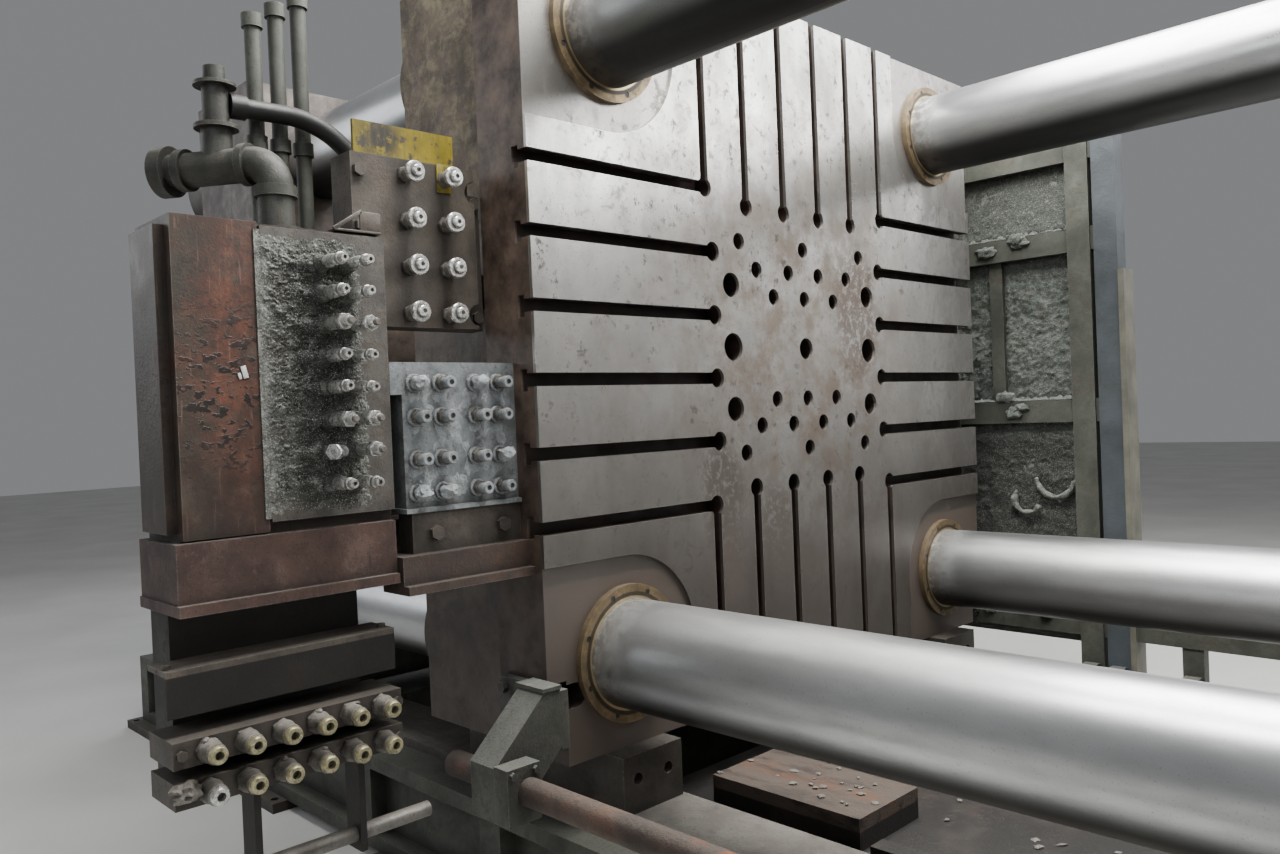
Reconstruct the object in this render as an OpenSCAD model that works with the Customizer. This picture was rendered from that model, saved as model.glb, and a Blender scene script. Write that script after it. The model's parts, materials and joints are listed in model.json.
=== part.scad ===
// Clamping unit of a large horizontal cold-chamber die casting machine.
// Millimetres. x = 0 is the die face of the moving platen, z = 0 is the floor,
// y = 0 is the machine axis. +x runs towards the fixed platen, -y is the operator side.

/* [Platens and tie bars] */
// Height of the machine axis above the floor
axis_h = 1720; // [1600:10:1900]
// Platen width
platen_w = 2400; // [2300:10:2600]
// Platen height
platen_h = 2310; // [2250:10:2450]
// Moving platen face plate thickness
plate_t = 220; // [180:10:260]
// Depth of the ribbed casting behind the face plate
rib_t = 480; // [400:10:600]
// Daylight between the die faces with the machine open
daylight = 2200; // [2100:10:2600]
// Fixed platen thickness
fixed_t = 450; // [380:10:560]
// Rear platen thickness
rear_t = 500; // [400:10:600]
// Tie bar radius
tie_r = 155; // [130:1:165]
// Tie bar centre in from the platen side
tie_in_y = 300; // [270:5:320]
// Tie bar centre in from the platen top and bottom
tie_in_z = 269; // [265:1:285]
// Tie bar length past each nut
tie_end = 70; // [40:5:120]

/* [Die mounting pattern] */
// T-slot pitch
slot_pitch = 200; // [180:2:206]
// T-slot throat width
throat_w = 36; // [28:1:44]
// T-slot throat depth
throat_d = 40; // [30:1:50]
// T-slot head width
head_w = 60; // [50:1:72]
// T-slot head depth
head_d = 28; // [20:1:36]
// Round end hole radius of each T-slot
slot_end_r = 31; // [26:0.5:38]
// Where the sideways slots end, from the axis
slot_in_y = 474; // [464:1:490]
// Where the upright slots end, from the axis
slot_in_z = 460; // [450:1:480]
// Grid unit of the ejector holes
eject_grid = 86; // [80:1:88]
// Small ejector hole radius
eject_r = 27.5; // [20:0.5:30]
// Corner ejector hole radius
eject_mid_r = 40; // [30:0.5:42]
// Side ejector hole radius
eject_big_r = 45; // [30:0.5:46]
// Centre ejector hole radius
eject_axis_r = 37.5; // [30:0.5:45]
// Side ejector hole distance from the axis
eject_side_y = 390; // [380:1:392]
// Corner ejector hole distance above and below the axis
eject_side_z = 200; // [195:1:205]
// Depth of the milled step round each tie bar
recess_d = 10; // [4:1:16]
// Radius of the milled step round each tie bar
recess_r = 280; // [260:1:282]
// Radius of the shot sleeve bore
sleeve_r = 150; // [110:5:160]
// Shot sleeve bore below the axis
sleeve_drop = 150; // [120:5:180]

/* [Tie bar bushes and nuts] */
// Bush wall thickness
bush_wall = 25; // [18:1:32]
// Retaining ring outer radius
ring_r = 197; // [192:1:205]
// Retaining ring thickness
ring_t = 20; // [14:1:28]
// Tie bar nut radius
nut_r = 262; // [240:1:268]
// Tie bar nut length
nut_len = 260; // [200:5:320]

/* [Closing drive] */
// Ejector housing length behind the moving platen
housing_len = 600; // [560:10:640]
// Ejector housing half width
housing_half = 690; // [640:5:700]
// Ejector plate thickness
eject_plate_t = 110; // [80:5:140]
// Gap between the housing and the rear platen with the machine open
open_gap = 420; // [400:10:480]
// Travel of the moving platen
stroke = 1150; // [900:10:1200]
// Closing ram radius
ram_r = 280; // [240:5:290]
// Closing cylinder wall thickness
barrel_wall = 130; // [100:5:150]

/* [Bed] */
// Height of the slide rails above the floor
rail_top = 400; // [380:5:440]
// Slide rail width
rail_w = 260; // [220:5:280]
// Slide rail thickness
rail_t = 30; // [20:1:40]
// Side beam width
beam_w = 400; // [360:5:440]
// Bed length behind the rear platen
bed_tail = 1250; // [1200:10:1400]

/* [Operator side manifolds] */
// Front of the small manifold behind the die face
small_x = 190; // [170:5:210]
// Pitch of the small manifold rows
small_pitch = 120; // [110:1:124]
// Flange radius of the small manifold nipples
small_r = 27; // [20:1:32]
// Top of the small manifold from the machine axis
small_top = 485; // [476:1:500]
// Small manifold thickness
small_t = 100; // [70:5:120]
// Collar radius of the big manifold nipples
big_r = 25; // [18:1:30]
// Lower rail coupling radius
low_r = 26; // [20:1:30]
// Front of the big manifold and valve box behind the die face
big_x = 100; // [80:5:120]
// Top of the valve box from the machine axis
box_top = 262; // [240:2:300]
// Outer side of the valve box from the machine axis
box_out = 2085; // [2050:5:2150]
// Inner side of the valve box from the machine axis
box_in = 1580; // [1560:2:1590]
// Width of the valve box face plate
face_w = 309; // [290:1:320]
// Pitch of the valve box fittings
fitting_pitch = 73; // [68:1:75]
// Pitch of the lower couplings
low_pitch = 81; // [72:1:82]
// Bar radius below the lower panel
bar_r = 19; // [14:1:24]
// Pipe radius on the valve box
pipe_r = 42; // [32:1:48]
// Supply hose radius
hose_r = 24; // [16:1:28]
// Safety rod radius
rod_r = 35; // [30:1:42]
// Safety rod distance from the axis
rod_y = 1380; // [1360:5:1440]
// Safety rod below the axis
rod_drop = 1116; // [1090:1:1130]

/* [Far side guard] */
// Guard distance from the axis
guard_y = 1500; // [1450:10:1600]
// Guard height
guard_h = 2650; // [2400:10:2800]

/* [Part to show] */

/* [Hidden] */
$fn = 64;
e = 1;
gap = 0.3;
run_gap = 0.5;
half_w = platen_w / 2;
half_h = platen_h / 2;
platen_z0 = axis_h - half_h;
tie_y = half_w - tie_in_y;
tie_z = half_h - tie_in_z;
mid_x = -plate_t;
rib_x = -plate_t - rib_t;
house_x = rib_x - housing_len;
rear_x = house_x - open_gap;
rear_x0 = rear_x - rear_t;
fixed_x1 = daylight + fixed_t;
bar_x0 = rear_x0 - nut_len - tie_end;
bar_x1 = fixed_x1 + nut_len + tie_end;
bush_r = tie_r + bush_wall;
slot_d = throat_d + head_d;
house_plate_t = 160;
house_wall_t = 120;
eject_plate_half = 520;
flange_t = 90;
ram_flange_r = ram_r + 95;
eject_cyl_z = ram_flange_r + 110;
ram_end = rear_x0 - stroke - 100;
barrel_in = ram_r + 20;
barrel_out = barrel_in + barrel_wall;
barrel_len = stroke + 200;
barrel_x0 = rear_x0 - barrel_len;
cap_t = 150;
beam_in = tie_y + 50 - beam_w / 2;
beam_x0 = rear_x0 - bed_tail;
beam_x1 = fixed_x1 + 60;
beam_z1 = rail_top - rail_t;
cross_x = [barrel_x0 + 250, rear_x0 + rear_t / 2, -850, 0, 1100, daylight + fixed_t / 2];
shoe_w = 234;
shoe_y = tie_y - 14;
post_x = [-700, 345, 457];
low_out = 2140;
low_in = 1610;
bar_x = -big_x - 10;
bar_z = axis_h - 1175;
carrier_x = -big_x - 330;
pipe_x = -big_x - 140;
pipe_y = -box_in - 204;
pipe_z = axis_h + box_top + 178;
pipe_turn = 55;
valve_run = 150;
hose_bend = 230;

module ycopy() {
  for (s = [-1, 1]) scale([1, s, 1]) children();
}

module corners(dy, dz) {
  for (sy = [-1, 1]) for (sz = [-1, 1]) translate([0, sy * dy, axis_h + sz * dz]) children();
}

module box(x0, x1, y0, y1, z0, z1) {
  translate([x0, y0, z0]) cube([x1 - x0, y1 - y0, z1 - z0]);
}

module xcyl(x0, len, r) {
  translate([x0, 0, 0]) rotate([0, 90, 0]) cylinder(h = len, r = r);
}

module xhex(x0, len, af) {
  translate([x0, 0, 0]) rotate([0, 90, 0]) cylinder(h = len, r = af / sqrt(3), $fn = 6);
}

// One T-slot cut into a face at x = 0, running along +y from its round end.
module t_slot(len) {
  translate([-throat_d, 0, -throat_w / 2]) cube([throat_d + e, len, throat_w]);
  translate([-slot_d, 0, -head_w / 2]) cube([head_d, len, head_w]);
  xcyl(-slot_d, slot_d + e, slot_end_r);
}

module slot_field() {
  for (i = [0.5, 1.5, 2.5]) for (s = [-1, 1]) {
    y_in = i == 2.5 ? slot_pitch * 2.5 : slot_in_y;
    z_in = i == 2.5 ? slot_pitch * 2.5 : slot_in_z;
    for (a = [0, 180]) {
      translate([0, 0, axis_h + s * i * slot_pitch]) rotate([a, 0, 0])
        translate([0, y_in, 0]) t_slot(half_w - y_in + e);
      translate([0, s * i * slot_pitch, axis_h]) rotate([a + 90, 0, 0])
        translate([0, z_in, 0]) t_slot(half_h - z_in + e);
    }
  }
}

module eject_holes(len) {
  g = eject_grid;
  corners(0, 4 * g) xcyl(-len, len + e, eject_r);
  corners(4 * g, 4 * g) xcyl(-len, len + e, eject_r);
  corners(g, 3 * g) xcyl(-len, len + e, eject_r);
  corners(3 * g, 3 * g) xcyl(-len, len + e, eject_r);
  corners(0, 2 * g) xcyl(-len, len + e, eject_r);
  corners(2 * g, 2 * g) xcyl(-len, len + e, eject_r);
  corners(eject_side_y, eject_side_z) xcyl(-len, len + e, eject_mid_r);
  corners(eject_side_y, 0) xcyl(-len, len + e, eject_big_r);
  translate([0, 0, axis_h]) xcyl(-len, len + e, eject_axis_r);
}

// Milled step from the edges of the face to an arc round each tie bar.
module corner_steps() {
  for (sy = [-1, 1]) for (sz = [-1, 1]) translate([0, 0, axis_h]) scale([1, sy, sz]) {
    translate([0, tie_y, tie_z]) xcyl(-recess_d, recess_d + e, recess_r);
    box(-recess_d, e, tie_y, half_w + e, tie_z - recess_r, half_h + e);
    box(-recess_d, e, tie_y - recess_r, half_w + e, tie_z, half_h + e);
  }
}

module foot_notches() {
  ycopy() {
    box(-plate_t - e, e, half_w - 66, half_w + e, platen_z0 - e, platen_z0 + 235);
    translate([0, half_w - 100, platen_z0 + 190]) xcyl(-120, 121, 34);
    box(-120, e, half_w - 100, half_w + e, platen_z0 + 156, platen_z0 + 224);
  }
}

module moving_platen() {
  color("lightgray") difference() {
    box(mid_x, 0, -half_w, half_w, platen_z0, platen_z0 + platen_h);
    corners(tie_y, tie_z) xcyl(mid_x - e, plate_t + 2 * e, bush_r + gap);
    corner_steps();
    slot_field();
    eject_holes(plate_t + e);
    foot_notches();
  }
}

module platen_rib_frame() {
  w = half_w - 66;
  z0 = platen_z0 + 10;
  z1 = platen_z0 + platen_h - 10;
  color("saddlebrown") difference() {
    union() {
      difference() {
        box(rib_x, mid_x, -w, w, z0, z1);
        box(rib_x - e, mid_x + e, -480, 480, axis_h - 480, axis_h + 480);
        for (sy = [-1, 1]) scale([1, sy, 1]) {
          box(rib_x - e, mid_x - 120, 560, w - 70, axis_h - 520, axis_h - 40);
          box(rib_x - e, mid_x - 120, 560, w - 70, axis_h + 40, axis_h + 520);
          translate([0, 0, axis_h - 300]) rotate([-90, 0, 0]) linear_extrude(height = w + e)
            translate([0, 0]) polygon([
              [rib_x + 90, -160], [mid_x - 90, -60], [mid_x - 90, 160], [rib_x + 200, 160]
            ]);
        }
        for (sz = [-1, 1]) translate([0, 0, axis_h]) scale([1, 1, sz]) {
          box(rib_x - e, mid_x - 120, -560, -40, 560, half_h - 90);
          box(rib_x - e, mid_x - 120, 40, 560, 560, half_h - 90);
        }
        box(rib_x - e, mid_x - 60, w - 40, w + e, axis_h + 120, axis_h + 420);
      }
      corners(tie_y, tie_z) xcyl(rib_x - 30, rib_t + 30, 228);
    }
    corners(tie_y, tie_z) xcyl(rib_x - 30 - e, rib_t + 30 + 2 * e, bush_r + gap);
  }
}

module guide_bushes() {
  color("goldenrod") {
    corners(tie_y, tie_z) difference() {
      union() {
        xcyl(-recess_d - 150, 150, bush_r);
        xcyl(-recess_d, ring_t, ring_r);
      }
      xcyl(-200, 260, tie_r + run_gap);
      for (a = [0:45:315]) rotate([a + 22.5, 0, 0])
        translate([0, 0, (tie_r + ring_r) / 2 + 2]) xcyl(-recess_d + ring_t - 6, 10, 9);
    }
    corners(tie_y, tie_z) difference() {
      union() {
        xcyl(rib_x - 30, 150, bush_r);
        xcyl(rib_x - 30 - ring_t, ring_t, ring_r);
      }
      xcyl(rib_x - 100, 260, tie_r + run_gap);
    }
  }
}

module ring_screws() {
  color("dimgray") corners(tie_y, tie_z) for (a = [0:45:315]) rotate([a + 22.5, 0, 0])
    translate([0, 0, (tie_r + ring_r) / 2 + 2]) xcyl(-recess_d + ring_t - 6, 5, 8);
}

module slide_shoes() {
  color("dimgray") ycopy() {
    difference() {
      box(rib_x + 20, 60, shoe_y - shoe_w / 2, shoe_y + shoe_w / 2, rail_top + run_gap, platen_z0);
      for (d = [-60, 60]) translate([0, shoe_y + d, rail_top + 95]) xcyl(40, 30, 17);
    }
  }
}

// Pocket plan shared by the backs of the two outer platens.
module back_pockets(x0, depth) {
  for (sy = [-1, 1]) for (sz = [-1, 1]) translate([0, 0, axis_h]) scale([1, sy, sz]) {
    box(x0, x0 + depth, tie_y - 310, half_w - 110, 90, tie_z - 330);
    box(x0, x0 + depth, 90, tie_y - 330, tie_z - 190, half_h - 110);
  }
}

module fixed_platen() {
  color("silver") difference() {
    box(daylight, fixed_x1, -half_w, half_w, platen_z0, platen_z0 + platen_h);
    corners(tie_y, tie_z) xcyl(daylight - e, fixed_t + 2 * e, tie_r + gap);
    translate([daylight, 0, 0]) scale([-1, 1, 1]) {
      corner_steps();
      slot_field();
    }
    translate([0, 0, axis_h - sleeve_drop]) xcyl(daylight - e, fixed_t + 2 * e, sleeve_r);
    back_pockets(fixed_x1 - 200, 200 + e);
  }
}

module shot_sleeve_ring() {
  color("slategray") translate([0, 0, axis_h - sleeve_drop]) difference() {
    xcyl(fixed_x1, 60, sleeve_r + 90);
    xcyl(fixed_x1 - e, 60 + 2 * e, sleeve_r);
    for (a = [0:45:315]) rotate([a, 0, 0]) translate([0, 0, sleeve_r + 55]) xcyl(fixed_x1 + 40, 30, 14);
  }
}

module platen_feet() {
  color("dimgray") ycopy() {
    box(daylight + 40, fixed_x1 - 30, shoe_y - rail_w / 2, shoe_y + rail_w / 2, rail_top, platen_z0);
    box(rear_x0 + 30, rear_x - 40, shoe_y - rail_w / 2, shoe_y + rail_w / 2, rail_top, platen_z0);
  }
}

module tie_bars() {
  color("gainsboro") corners(tie_y, tie_z) difference() {
    union() {
      xcyl(bar_x0 + 12, bar_x1 - bar_x0 - 24, tie_r);
      xcyl(bar_x0, bar_x1 - bar_x0, tie_r - 12);
    }
    for (x = [bar_x0 - e, bar_x1 - 60]) xcyl(x, 60 + e, 24);
  }
}

module nut_ring(x0) {
  corners(tie_y, tie_z) difference() {
    xcyl(x0, nut_len, nut_r);
    xcyl(x0 - e, nut_len + 2 * e, tie_r + gap);
    box(x0 - e, x0 + nut_len + e, -nut_r - e, nut_r + e, -4, 4);
    for (s = [-1, 1]) for (d = [0.25, 0.75]) translate([x0 + nut_len * d, s * 210, 60])
      cylinder(h = nut_r, r = 26);
  }
}

module tie_nuts() {
  color("dimgray") {
    nut_ring(fixed_x1);
    nut_ring(rear_x0 - nut_len);
  }
}

module rear_platen() {
  color("slategray") difference() {
    box(rear_x0, rear_x, -half_w, half_w, platen_z0, platen_z0 + platen_h);
    corners(tie_y, tie_z) xcyl(rear_x0 - e, rear_t + 2 * e, tie_r + gap);
    translate([0, 0, axis_h]) xcyl(rear_x0 - e, rear_t + 2 * e, barrel_in);
    translate([0, 0, 0]) back_pockets(rear_x0 - e, 221);
  }
}

module closing_cylinder() {
  color("steelblue") translate([0, 0, axis_h]) difference() {
    union() {
      xcyl(barrel_x0, barrel_len, barrel_out);
      xcyl(rear_x0 - 120, 120, barrel_out + 110);
      xcyl(barrel_x0 - cap_t, cap_t, barrel_out + 60);
      for (a = [0:30:330]) rotate([a, 0, 0]) translate([0, 0, barrel_out + 62]) xcyl(rear_x0 - 150, 30, 30);
      for (a = [15:30:345]) rotate([a, 0, 0])
        translate([0, 0, barrel_out + 10]) xcyl(barrel_x0 - cap_t - 26, 26, 26);
    }
    xcyl(barrel_x0, barrel_len + e, barrel_in);
    xcyl(barrel_x0 - cap_t - e, 60, 90);
  }
}

module cylinder_gland() {
  color("dimgray") translate([0, 0, axis_h]) difference() {
    union() {
      xcyl(rear_x, 60, ram_r + 140);
      for (a = [0:30:330]) rotate([a, 0, 0]) translate([0, 0, ram_r + 100]) xcyl(rear_x + 60, 22, 22);
    }
    xcyl(rear_x - e, 100, ram_r + run_gap);
  }
}

module cylinder_saddle() {
  x = barrel_x0 + 250;
  color("slategray") difference() {
    box(x - 120, x + 120, -beam_in - beam_w / 2, beam_in + beam_w / 2, beam_z1, axis_h - barrel_out / 2);
    translate([0, 0, axis_h]) xcyl(x - 130, 260, barrel_out + gap);
    ycopy() box(x - 130, x + 130, 150, beam_in - 30, beam_z1 + 120, beam_z1 + 420);
  }
}

module closing_ram() {
  color("gainsboro") translate([0, 0, axis_h]) {
    xcyl(ram_end, house_x - ram_end, ram_r);
    xcyl(house_x - flange_t, flange_t, ram_flange_r);
    for (a = [15:30:345]) rotate([a, 0, 0])
      translate([0, 0, ram_r + 58]) xcyl(house_x - flange_t - 24, 24, 24);
  }
}

module ejector_housing() {
  h = housing_half;
  color("darkslategray") difference() {
    union() {
      box(house_x, house_x + house_plate_t, -h, h, axis_h - h, axis_h + h);
      ycopy() box(house_x, rib_x, h - house_wall_t, h, axis_h - h, axis_h + h);
    }
    ycopy() translate([0, h - house_wall_t - e, axis_h]) {
      box(house_x + 250, rib_x - 120, 0, house_wall_t + 2 * e, -360, 360);
    }
    corners(0, eject_cyl_z) xcyl(house_x - e, house_plate_t + 2 * e, 48);
    corners(430, 430) xcyl(house_x + house_plate_t - 40, 50, 50 + gap);
  }
}

module ejector_guides() {
  color("gainsboro") corners(430, 430)
    xcyl(house_x + house_plate_t - 40, housing_len - house_plate_t + 40 + rib_t - 120, 50);
}

module ejector_plate() {
  x = house_x + house_plate_t + 60;
  color("gray") {
    difference() {
      box(x, x + eject_plate_t, -eject_plate_half, eject_plate_half,
        axis_h - eject_plate_half, axis_h + eject_plate_half);
      corners(430, 430) xcyl(x - e, eject_plate_t + 2 * e, 50 + run_gap);
    }
    corners(2 * eject_grid, 2 * eject_grid) xcyl(x + eject_plate_t, 620, eject_r - 5);
    corners(eject_side_y, 0) xcyl(x + eject_plate_t, 620, eject_big_r - 8);
  }
}

module ejector_cylinders() {
  color("steelblue") corners(0, eject_cyl_z) {
    xcyl(house_x - 290, 290, 82);
    xcyl(house_x - 60, 60, 100);
    xcyl(house_x, house_plate_t + 60, 34);
  }
}

module bed_beams() {
  color("darkolivegreen") ycopy() difference() {
    box(beam_x0, beam_x1, beam_in, beam_in + beam_w, 40, beam_z1);
    for (i = [0:7]) {
      step = (beam_x1 - beam_x0 - 100) / 8;
      x = beam_x0 + i * step;
      box(x + 100, x + step, beam_in + beam_w - 60, beam_in + beam_w + e, 90, beam_z1 - 50);
    }
  }
}

module bed_cross_members() {
  color("darkolivegreen") for (x = cross_x)
    difference() {
      box(x - 150, x + 150, -beam_in, beam_in, 40, beam_z1 - 40);
      box(x - 110, x + 110, -beam_in + 60, -60, 40 - e, beam_z1 - 90);
      box(x - 110, x + 110, 60, beam_in - 60, 40 - e, beam_z1 - 90);
    }
}

module sole_plates() {
  color("dimgray") for (x = cross_x)
    difference() {
      box(x - 200, x + 200, -beam_in - beam_w - 60, beam_in + beam_w + 60, 0, 40);
      ycopy() for (d = [-150, 150]) translate([x + d, beam_in + beam_w + 30, -e]) cylinder(h = 60, r = 16);
    }
}

module slide_rails() {
  color("silver") ycopy()
    box(rear_x0 - 40, beam_x1, shoe_y - rail_w / 2, shoe_y + rail_w / 2, beam_z1, rail_top);
}

module bed_tray() {
  color("rosybrown") box(-130, 1230, -beam_in, beam_in, beam_z1 - 40, beam_z1 - 20);
}

// Planks of scrap steel that the die rests on while it is changed.
module rest_block() {
  color("sienna") {
    box(90, 600, -670, -380, beam_z1 - 20, beam_z1 + 66);
    box(650, 1180, -700, -640, beam_z1 - 20, beam_z1 + 20);
  }
}

module small_manifold() {
  z0 = axis_h + 48;
  z1 = axis_h + small_top;
  color("dimgray") {
    difference() {
      union() {
        box(-small_x - small_t, -small_x, -1560, -half_w - 42, z0, z1);
        box(-small_x - small_t, -small_x - 40, -half_w - 42, -half_w, z0, z1 - 60);
        box(-small_x - small_t, -small_x, -1611, -1560, axis_h + box_top + 6, z1);
      }
      for (z = [z0 + 40, z1 - 62]) translate([0, -half_w - 42, z]) xcyl(-small_x - 30, 31, 30);
    }
    for (p = [[-1224, 84], [-1224, 400], [-1590, 300], [-1590, 440]])
      translate([0, p[0], axis_h + p[1]]) xhex(-small_x - (p[0] > -1300 ? 40 : 0), 14, 30);
  }
}

// Nipple of the small manifold: hexagon, body, flange and nose with a bore, standing on x = 0.
module flanged_nipple(r, len) {
  xhex(0, len * 0.3, r * 1.5);
  xcyl(len * 0.3, len * 0.35, r * 0.66);
  xcyl(len * 0.65, len * 0.2, r);
  difference() {
    xcyl(len * 0.85, len * 0.15, r * 0.55);
    xcyl(len * 0.9, len, r * 0.2);
  }
}

// Screwed coupling of the big manifold.
module screwed_nipple(r, len) {
  xcyl(0, len * 0.2, r);
  xhex(len * 0.2, len * 0.3, r * 1.6);
  difference() {
    xcyl(len * 0.5, len * 0.5, r * 0.6);
    xcyl(len * 0.8, len, r * 0.26);
  }
}

// Ring-mouthed coupling of the lower rails.
module mouth_coupling(r, len) {
  xcyl(0, len * 0.22, r * 1.12);
  xcyl(len * 0.22, len * 0.53, r * 0.92);
  difference() {
    xcyl(len * 0.75, len * 0.25, r * 0.8);
    xcyl(len * 0.8, len, r * 0.4);
  }
}

module small_couplings() {
  color("silver") for (i = [0:3]) for (y = [-1458, -1341])
    translate([-small_x, y, axis_h + 444 - i * small_pitch]) flanged_nipple(small_r, 72);
}

module cover_strip() {
  color("gold") box(-small_x - 10, -small_x, -1600, -1305, axis_h + small_top, axis_h + small_top + 82);
}

module valve_box() {
  z0 = axis_h - 438;
  z1 = axis_h + box_top;
  color("sienna") {
    box(-big_x - 210, -big_x - 20, -box_out, -box_in, z0, z1);
    box(-big_x - 20, -big_x, -box_out, -box_in - face_w - 7, z0 + 4, z1);
    box(-big_x - 185, -big_x - 35, -box_out - 22, -box_out, z0 + 18, z1 - 20);
  }
}

module valve_face_plate() {
  color("dimgray")
    box(-big_x - 20, -big_x + 4, -box_in - 3 - face_w, -box_in - 3, axis_h - 412, axis_h + box_top - 8);
}

module valve_box_base() {
  color("maroon") {
    box(-big_x - 210, -big_x + 16, -box_out - 22, -box_in - 10, axis_h - 566, axis_h - 438);
    box(-big_x - 210, -big_x + 34, -box_out - 26, -box_in - 14, axis_h - 590, axis_h - 566);
  }
}

// Plated nipple of the valve box, tall ones with a union nut.
module box_nipple(tall) {
  xcyl(0, 14, 22);
  xhex(14, 24, 38);
  xcyl(38, 26, 12);
  xcyl(64, 38, 15);
  if (tall) {
    xhex(102, 28, 40);
    xcyl(130, 20, 13);
  } else {
    xcyl(102, 26, 11);
  }
}

module box_fittings() {
  color("silver") for (i = [0:7]) for (y = [-box_in - 174, -box_in - 110])
    translate([-big_x + 4, y, axis_h + 178 - i * fitting_pitch]) box_nipple(i == 2 || i == 5);
}

module big_manifold() {
  color("lightsteelblue") {
    box(-big_x - 120, -big_x, -1580, -half_w, axis_h - 131, axis_h - 50);
    box(-big_x - 120, -big_x, -1548, -half_w, axis_h - 416, axis_h - 131);
    box(-big_x - 120, -big_x + 14, -1556, -half_w, axis_h - 428, axis_h - 416);
  }
}

module big_couplings() {
  color("silver") for (y = [-1516, -1440, -1335, -1262]) for (z = [-103, -188, -294, -378])
    translate([-big_x, y, axis_h + z]) screwed_nipple(big_r, 62);
}

module foot_strip() {
  color("dimgray") {
    box(-big_x - 60, -big_x + 4, -1536, -half_w, axis_h - 530, axis_h - 428);
    for (y = [-1470, -1262]) translate([0, y, axis_h - 482]) xhex(-big_x + 4, 14, 34);
  }
}

module bracket_plate() {
  color("saddlebrown") {
    box(-160, -60, -1588, -half_w, axis_h - 600, axis_h - 530);
    box(-160, -36, -1588, -half_w, axis_h - 622, axis_h - 600);
  }
}

module side_carrier() {
  color("saddlebrown") {
    for (z = [axis_h + 120, axis_h - 560])
      box(carrier_x, -big_x - 210, -box_out + 40, -half_w + 66, z, z + 100);
    box(carrier_x, -big_x - 210, -1940, -1840, axis_h - 1000, axis_h - 560);
  }
}

module lower_panel() {
  color("black") box(-big_x - 210, -big_x - 100, -low_out + 50, -low_in - 30, axis_h - 1000, axis_h - 590);
}

module hand_bar() {
  color("silver") translate([bar_x, -low_out + 130, bar_z]) rotate([-90, 0, 0])
    cylinder(h = low_out - low_in - 39, r = bar_r);
}

module lower_rails() {
  color("dimgray") for (z = [-870, -955]) {
    box(-big_x - 100, -60, -low_out, -low_in, axis_h + z - 28, axis_h + z + 28);
    for (y = [-low_out + 16, -low_in - 11]) translate([0, y, axis_h + z]) xhex(-60, 10, 20);
  }
  color("dimgray") for (y = [-low_out + 170, -low_in - 110]) difference() {
    box(bar_x - 36, bar_x + 30, y, y + 16, bar_z - 36, axis_h - 983);
    translate([bar_x, y - 1, bar_z]) rotate([-90, 0, 0]) cylinder(h = 18, r = bar_r + gap);
  }
}

module angle_bar() {
  color("dimgray") {
    box(-big_x - 100, -big_x + 10, -low_out + 3, -low_in + 6, axis_h - 712, axis_h - 700);
    box(-big_x - 2, -big_x + 10, -low_out + 3, -low_in + 6, axis_h - 800, axis_h - 712);
    for (y = [-low_out + 15, -low_in - 12]) translate([-big_x - 20, y, axis_h - 700]) cylinder(h = 10, r = 10, $fn = 6);
  }
}

module lower_couplings() {
  color("goldenrod") for (z = [-870, -955]) for (i = [0:5])
    translate([-60, -low_out + 70 + i * low_pitch, axis_h + z]) mouth_coupling(low_r, 66);
}

module clamp_arm() {
  z = axis_h - rod_drop;
  top = axis_h - 905;
  color("lightgray") {
    difference() {
      translate([-30, 0, 0]) rotate([90, 0, 90]) linear_extrude(height = 105) polygon([
        [-half_w - 26, top + 5], [-half_w - 26, top - 150], [-rod_y + 58, z - 30], [-rod_y + 58, z - 78],
        [-rod_y - 60, z - 78], [-rod_y - 60, z + 58], [-half_w - 78, top], [-half_w - 78, top + 5]
      ]);
      translate([0, -rod_y, z]) xcyl(-31, 107, rod_r + gap);
    }
    box(-190, 75, -half_w - 26, -half_w, top - 160, top - 8);
    box(-36, 81, -half_w - 86, -half_w - 26, top, top + 10);
    difference() {
      box(75, 130, -rod_y - 64, -rod_y + 36, z - 74, z + 66);
      translate([0, -rod_y, z]) xcyl(74, 57, rod_r + gap);
    }
    for (p = [[-165, -1035], [-165, -940], [-75, -1035], [-75, -940]])
      translate([p[0], -half_w - 26, axis_h + p[1]]) rotate([90, 0, 0]) cylinder(h = 16, r = 17, $fn = 6);
    for (d = [-48, 22]) translate([0, -rod_y + d, z + 50]) xhex(130, 9, 18);
  }
}

module safety_rod() {
  color("rosybrown") translate([0, -rod_y, axis_h - rod_drop]) xcyl(-190, daylight + 560, rod_r);
}

module rod_guide() {
  z = axis_h - rod_drop;
  color("dimgray") difference() {
    union() {
      box(daylight + 60, daylight + 220, -rod_y - 80, -half_w, z - 80, z + 80);
      translate([0, -rod_y - 0, z]) xcyl(daylight + 50, 180, rod_r + 44);
    }
    translate([0, -rod_y, z]) xcyl(daylight + 40, 200, rod_r + run_gap);
  }
}

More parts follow.
